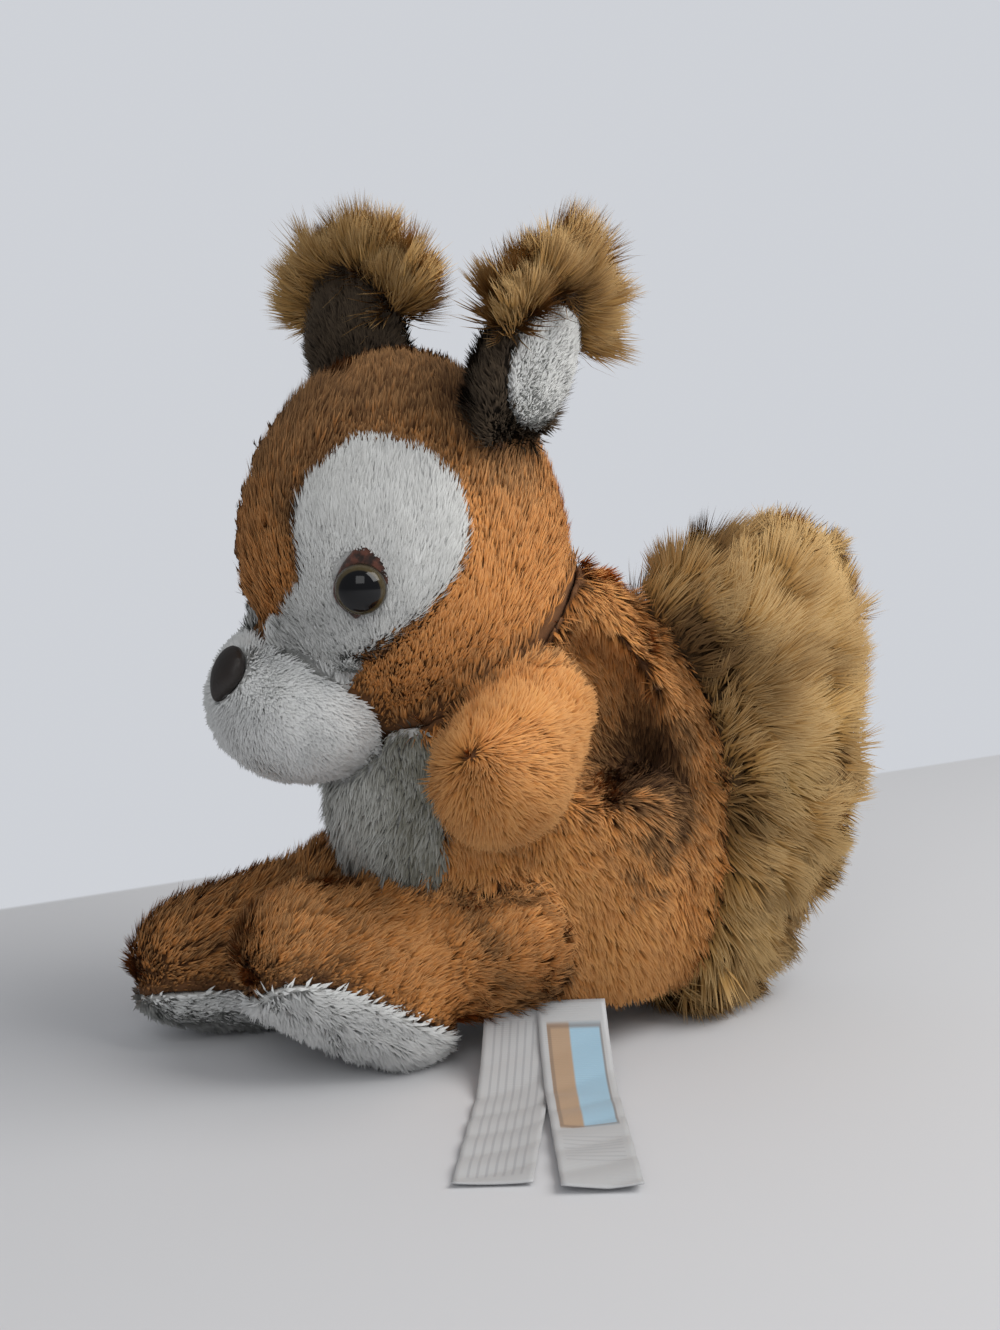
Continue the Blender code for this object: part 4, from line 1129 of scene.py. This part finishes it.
def make_bib():
    cloth = backing("chest_panel", "chest_panel_cloth", voxel=0.0020, inset=0.0, passes=3)
    cloth.data.transform(Matrix.Translation((0, BIB_BACK, 0)))

    def shade(points, normals):
        # Painted shade, growing towards the back under the arms.
        return BIB_TONE - BIB_PAINTED_SHADE * ramp(points[:, 1], -0.062, 0.020)

    comb(cloth, lying(0.0, 0.0, -1.0), shade, painted_fold_shade=0.2)
    pile = grow(
        cloth, "chest_panel_pile", BIB_PILE, strands=8500, seed=61, length=0.0085, width=0.0008,
        stand=0.6, clump_size=0.005, gather=0.45, swirl_size=0.025, swirl=0.5, ruffle=0.3,
        unevenness=0.3,
    )
    dress(cloth, pile, "chest_panel", WHITE_CLOTH)


make_bib()


def make_pocket():
    lining = copy_of("pocket_lining", "pocket_cloth")
    finer = lining.modifiers.new("finer", "SUBSURF")
    finer.subdivision_type = "SIMPLE"
    finer.levels = finer.render_levels = 1
    settled(lining)
    lining.data.shade_smooth()
    weave = Finish("lining_cloth", Roughness=0.9)
    place = weave.put("ShaderNodeTexCoord", out="Object")
    values = {"Vector": place, "Scale": 420.0, "Distortion": 0.4}
    up = weave.put("ShaderNodeTexWave", {"bands_direction": "Z"}, values, out="Fac")
    round_it = weave.put("ShaderNodeTexWave", {"bands_direction": "DIAGONAL"}, values, out="Fac")
    threads = up * 0.5 + round_it * 0.5
    lining.data.materials.clear()
    lining.data.materials.append(
        weave.feed(
            Base_Color=weave.mix(threads, (0.44, 0.42, 0.37), (0.60, 0.58, 0.53)),
            Normal=weave.bump(threads, 0.4, 0.0003),
        )
    )
    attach(lining, "root")
    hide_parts("pocket_lining")


make_pocket()

# Arms: stuffed stumps of brown plush. The cloth is gathered at the paw, and the pile spreads
# from there in a soft whorl. It has painted shade at the front.
PAWS = {"left": (0.0532, -0.0243, 0.1128), "right": (-0.1150, -0.0243, 0.1128)}
PAW_ROOTS = {"left": (0.010, 0.0, 0.003), "right": (-0.010, 0.0, 0.003)}
WHORL_SHIFT = (0.0, -0.005, 0.007)
WHORL_REACH = 0.013
ARM_STRANDS = {"left": 19000, "right": 13000}
ARM_TONE = 0.60
WHORL_DARKER = 0.14
ARM_FRONT_PAINTED_SHADE = 0.32


def make_arm(side, seed):
    node = f"arm_{side}"
    paw = np.array(PAWS[side])
    cloth = backing(node, f"{node}_cloth", voxel=0.0022, inset=0.0042, passes=8)

    def nap(points):
        close = near(points, paw, WHORL_REACH)[:, None]
        outwards = from_point(paw - np.array(PAW_ROOTS[side]))(points)
        return outwards * (1 - close) + np.array((0.0, 0.4, -1.0)) * close

    def shade(points, normals):
        whorl = WHORL_DARKER * near(points, paw + np.array(WHORL_SHIFT), 0.008)
        # Painted shade at the front.
        return ARM_TONE - whorl - ARM_FRONT_PAINTED_SHADE * ramp(-points[:, 1], 0.031, 0.014)

    comb(cloth, nap, shade, painted_fold_shade=0.4)
    pile = grow(
        cloth, f"{node}_pile", BROWN_PILE, strands=ARM_STRANDS[side], seed=seed, length=0.0098,
        width=0.00090, stand=0.70, clump_size=0.0050, gather=0.35, swirl_size=0.014, swirl=0.9,
        ruffle=0.30, unevenness=0.25, freckle=0.8,
    )
    dress(cloth, pile, node, BROWN_CLOTH)


make_arm("left", 71)
make_arm("right", 73)

# Legs: a stuffed thigh and a long foot in one, of brown plush with a white plush sole. The
# cloth is creased where the thigh meets the foot, and the pile is cropped along the sole.
# The pile has painted light on top, and painted shade on the feet and along the crease.
CREASE = [
    (0.0140, -0.0330, 0.0680),
    (0.0168, -0.0258, 0.0574),
    (0.0205, -0.0203, 0.0438),
    (0.0176, -0.0168, 0.0302),
]
CREASE_WIDTH = 0.0045
LEG_STRANDS = {"left": 23000, "right": 18000}
LEG_TONE = 0.52
LEG_TOP_PAINTED_LIGHT = 0.06
FOOT_PAINTED_SHADE = 0.16
CREASE_PAINTED_SHADE = 0.28
CROP_AT_SOLE = (0.30, 0.010)
SOLE_STRANDS = {"left": 11000, "right": 7500}
# Painted light: the soles are made lighter, as they face down away from the lamps.
SOLE_TONE_WITH_PAINTED_LIGHT = 0.85
SOLE_NAP = {"left": (-0.5, 0.6, 0.2), "right": (0.5, 0.6, 0.2)}


def from_line(points, first, second):
    """How far each point is from the straight line between two ends."""
    run = second - first
    part = np.clip((points - first) @ run / (run @ run), 0, 1)
    return np.linalg.norm(points - first - part[:, None] * run, axis=1)


def make_leg(side, seed):
    node = f"leg_{side}"
    cloth = backing(node, f"{node}_cloth", voxel=0.0025, inset=0.0042, passes=8)

    def shade(points, normals):
        # Painted light on upward faces, and painted shade on the feet and along the crease.
        light = LEG_TONE + LEG_TOP_PAINTED_LIGHT * normals[:, 2] - FOOT_PAINTED_SHADE * ramp(-points[:, 1], 0.045, 0.03)
        if side == "left":
            ends = np.array(CREASE)
            for first, second in zip(ends, ends[1:]):
                away = from_line(points, first, second)
                light -= CREASE_PAINTED_SHADE * np.exp(-((away / CREASE_WIDTH) ** 2))
        return light

    rim = walls_of([f"sole_{side}"])

    def tall(points, normals):
        least, reach = CROP_AT_SOLE
        gaps = np.array([rim.find_nearest(Vector(point))[3] for point in points])
        return np.clip(gaps / reach, least, 1.0)

    comb(cloth, lying(0.0, 0.80, 0.60), shade, tall, painted_fold_shade=0.3)
    pile = grow(
        cloth, f"{node}_pile", BROWN_PILE, strands=LEG_STRANDS[side], seed=seed, length=0.0100,
        width=0.00088, stand=0.65, clump_size=0.0045, gather=0.45, swirl_size=0.018, swirl=0.8,
        ruffle=0.26, unevenness=0.25, freckle=0.8,
    )
    dress(cloth, pile, node, BROWN_CLOTH)

    node = f"sole_{side}"
    cloth = backing(node, f"{node}_cloth", voxel=0.0020, inset=0.0018, passes=5)
    comb(cloth, lying(*SOLE_NAP[side]), plain(SOLE_TONE_WITH_PAINTED_LIGHT), painted_fold_shade=0.2)
    pile = grow(
        cloth, f"{node}_pile", WHITE_PILE, strands=SOLE_STRANDS[side], seed=seed + 1, length=0.0068,
        width=0.0012, stand=0.6, clump_size=0.005, gather=0.4, swirl_size=0.015, swirl=0.6,
        ruffle=0.3, unevenness=0.2,
    )
    dress(cloth, pile, node, WHITE_CLOTH)


make_leg("left", 81)
make_leg("right", 85)

# Tail: a stuffed plume of long shaggy tan hair, up to 23 mm long. Above the parting the hair
# sweeps up, and lower down it falls to the foot of the tail. It has painted shade next to the body.
PARTING = np.array((-0.0309, 0.072, 0.124))
TAIL_TONE = 0.46
PARTING_DARKER = 0.10
TAIL_INNER_PAINTED_SHADE = 0.26
TOP_PALER = 0.10
CLOUDS = 0.42
CLOUD_SCALE = 55.0


def make_tail():
    cloth = backing("tail", "tail_cloth", voxel=0.0030, inset=0.0110, passes=14, reach=0.002)

    def nap(points):
        way = np.zeros_like(points)
        way[:, 0] = (points[:, 0] - PARTING[0]) * 6
        way[:, 1] = 0.75
        way[:, 2] = np.tanh((points[:, 2] - PARTING[2] + 0.02) / 0.045) + 0.15
        return way

    def shade(points, normals):
        back, high = points[:, 1], points[:, 2]
        parted = np.exp(-(((high - PARTING[2]) / 0.018) ** 2)) * (back < 0.10)
        inner = ramp(-back, -0.105, 0.035) * ramp(high, 0.085, 0.02)
        cloudy = np.array([noise.noise(Vector(point) * CLOUD_SCALE) for point in points])
        light = TAIL_TONE + TOP_PALER * ramp(high, 0.13, 0.04) + CLOUDS * cloudy
        # Painted shade on the side next to the body.
        return light - PARTING_DARKER * parted - TAIL_INNER_PAINTED_SHADE * inner

    comb(cloth, nap, shade, painted_fold_shade=0.3)
    pile = grow(
        cloth, "tail_pile", TAN_PILE, strands=66000, seed=91, length=0.0225, width=0.00084,
        stand=0.62, clump_size=0.012, gather=0.42, swirl_size=0.022, swirl=1.6, ruffle=0.20,
        unevenness=0.30, freckle=0.45,
    )
    dress(cloth, pile, "tail", TAN_CLOTH)


make_tail()
bpy.data.objects.remove(STRAND, do_unlink=True)

# Labels: two strips of white satin ribbon sewn into the seam under the left hip. They drop
# to the table and lie out over it. One bears a plain two-colour block and the other rules.
SEAM = (0.041, 0.022)
SHIFT = (-0.0309, -0.0198)
RIBBON_WIDTH = 0.024
RIBBON_THICKNESS = 0.0004
RIBBON_HEIGHT = 0.020
RIBBON_FALL = 0.036
RIBBON_TURN = math.radians(-14)


def ribbon_rise(reach, lift):
    """The ribbon's height above the table at a distance from its seam."""
    part = min(max(reach / RIBBON_FALL, 0.0), 1.0)
    return lift + RIBBON_THICKNESS / 2 + RIBBON_HEIGHT * (1 - part) ** 1.35 * (1 - 0.25 * part)


def make_ribbon(node, length, place, lift, fan, curl, finish):
    along, across = 72, 14
    points, map_rows, faces = [], [], []
    for row in range(along + 1):
        reach = length * row / along
        for column in range(across + 1):
            out = column / across - 0.5
            wave = 0.0009 * math.sin(reach * 210 + out * 2.2) * min(1.0, reach / 0.04)
            edge = curl * (2 * out) ** 2 * min(1.0, reach / 0.06)
            rise = ribbon_rise(reach, lift) + abs(wave) + edge
            x, y = reach, place + out * RIBBON_WIDTH + fan * reach
            turned = (
                x * math.cos(RIBBON_TURN) - y * math.sin(RIBBON_TURN),
                x * math.sin(RIBBON_TURN) + y * math.cos(RIBBON_TURN),
            )
            points.append((SEAM[0] + SHIFT[0] + turned[0], SEAM[1] + SHIFT[1] + turned[1], rise))
            map_rows.append((out + 0.5, row / along))
    for row in range(along):
        for column in range(across):
            first = row * (across + 1) + column
            faces.append((first, first + across + 1, first + across + 2, first + 1))
    mesh = bpy.data.meshes.new(f"{node}_ribbon")
    mesh.from_pydata(points, [], faces)
    layer = mesh.uv_layers.new(name="ribbon")
    for loop in mesh.loops:
        layer.data[loop.index].uv = map_rows[loop.vertex_index]
    mesh.materials.append(finish)
    ribbon = piece(f"{node}_ribbon", mesh)
    wall = ribbon.modifiers.new("thickness", "SOLIDIFY")
    wall.thickness = RIBBON_THICKNESS
    wall.offset = 0.0
    settled(ribbon)
    ribbon.data.shade_smooth()
    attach(ribbon, "root")
    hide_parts(node)


SATIN_WHITE = (0.47, 0.475, 0.48)
FIELD_TAN = (0.42, 0.29, 0.19)
FIELD_BLUE = (0.33, 0.50, 0.62)
FRAME_BROWN = (0.22, 0.16, 0.12)
RULE_GREY = (0.28, 0.28, 0.30)


def satin(name):
    """White satin: fine ribs across the ribbon and a soft shine."""
    cloth = Finish(name, Roughness=0.45, Sheen_Weight=0.15)
    spot = cloth.put("ShaderNodeSeparateXYZ", {}, {0: cloth.put("ShaderNodeUVMap", {"uv_map": "ribbon"})})
    across, along = spot, cloth.also(spot, 1)
    ribs = cloth.put("ShaderNodeMath", {"operation": "SINE"}, {0: along * 900.0})
    return cloth, across, along, ribs


def band(cloth, value, low, high, soft=0.01):
    """1 between two places and 0 outside them."""
    return cloth.rise(value, low - soft, low + soft) * (1.0 - cloth.rise(value, high - soft, high + soft))


def rules(cloth, value, count, share):
    """Thin printed rules, evenly apart."""
    wave = cloth.put("ShaderNodeMath", {"operation": "FRACT"}, {0: value * float(count)})
    return band(cloth, wave, 0.5 - share / 2, 0.5 + share / 2, 0.06)


def name_finish():
    cloth, across, along, ribs = satin("name_satin")
    block = band(cloth, along, 0.07, 0.60) * band(cloth, across, 0.12, 0.90)
    fields = cloth.mix(band(cloth, across, 0.44, 0.90, 0.02), FIELD_TAN, FIELD_BLUE)
    inner = band(cloth, along, 0.085, 0.585, 0.006) * band(cloth, across, 0.17, 0.87, 0.012)
    printed = cloth.mix(block, SATIN_WHITE, fields)
    printed = cloth.mix(block * (1.0 - inner) * 0.7, printed, FRAME_BROWN)
    lower = band(cloth, along, 0.66, 0.84) * band(cloth, across, 0.12, 0.88)
    printed = cloth.mix(lower * rules(cloth, along, 45, 0.30) * 0.35, printed, (0.3, 0.3, 0.32))
    return cloth.feed(Base_Color=printed, Normal=cloth.bump(ribs, 0.12, 0.0002))


def care_finish():
    cloth, across, along, ribs = satin("care_satin")
    inside = band(cloth, along, 0.05, 0.95) * band(cloth, across, 0.10, 0.90)
    printed = cloth.mix(inside * rules(cloth, across, 9, 0.30) * 0.45, SATIN_WHITE, RULE_GREY)
    return cloth.feed(Base_Color=printed, Normal=cloth.bump(ribs, 0.12, 0.0002))


make_ribbon("care_label", 0.098, -0.009, 0.0, -0.07, 0.0010, care_finish())
make_ribbon("name_label", 0.104, 0.009, 0.0014, 0.07, 0.0006, name_finish())
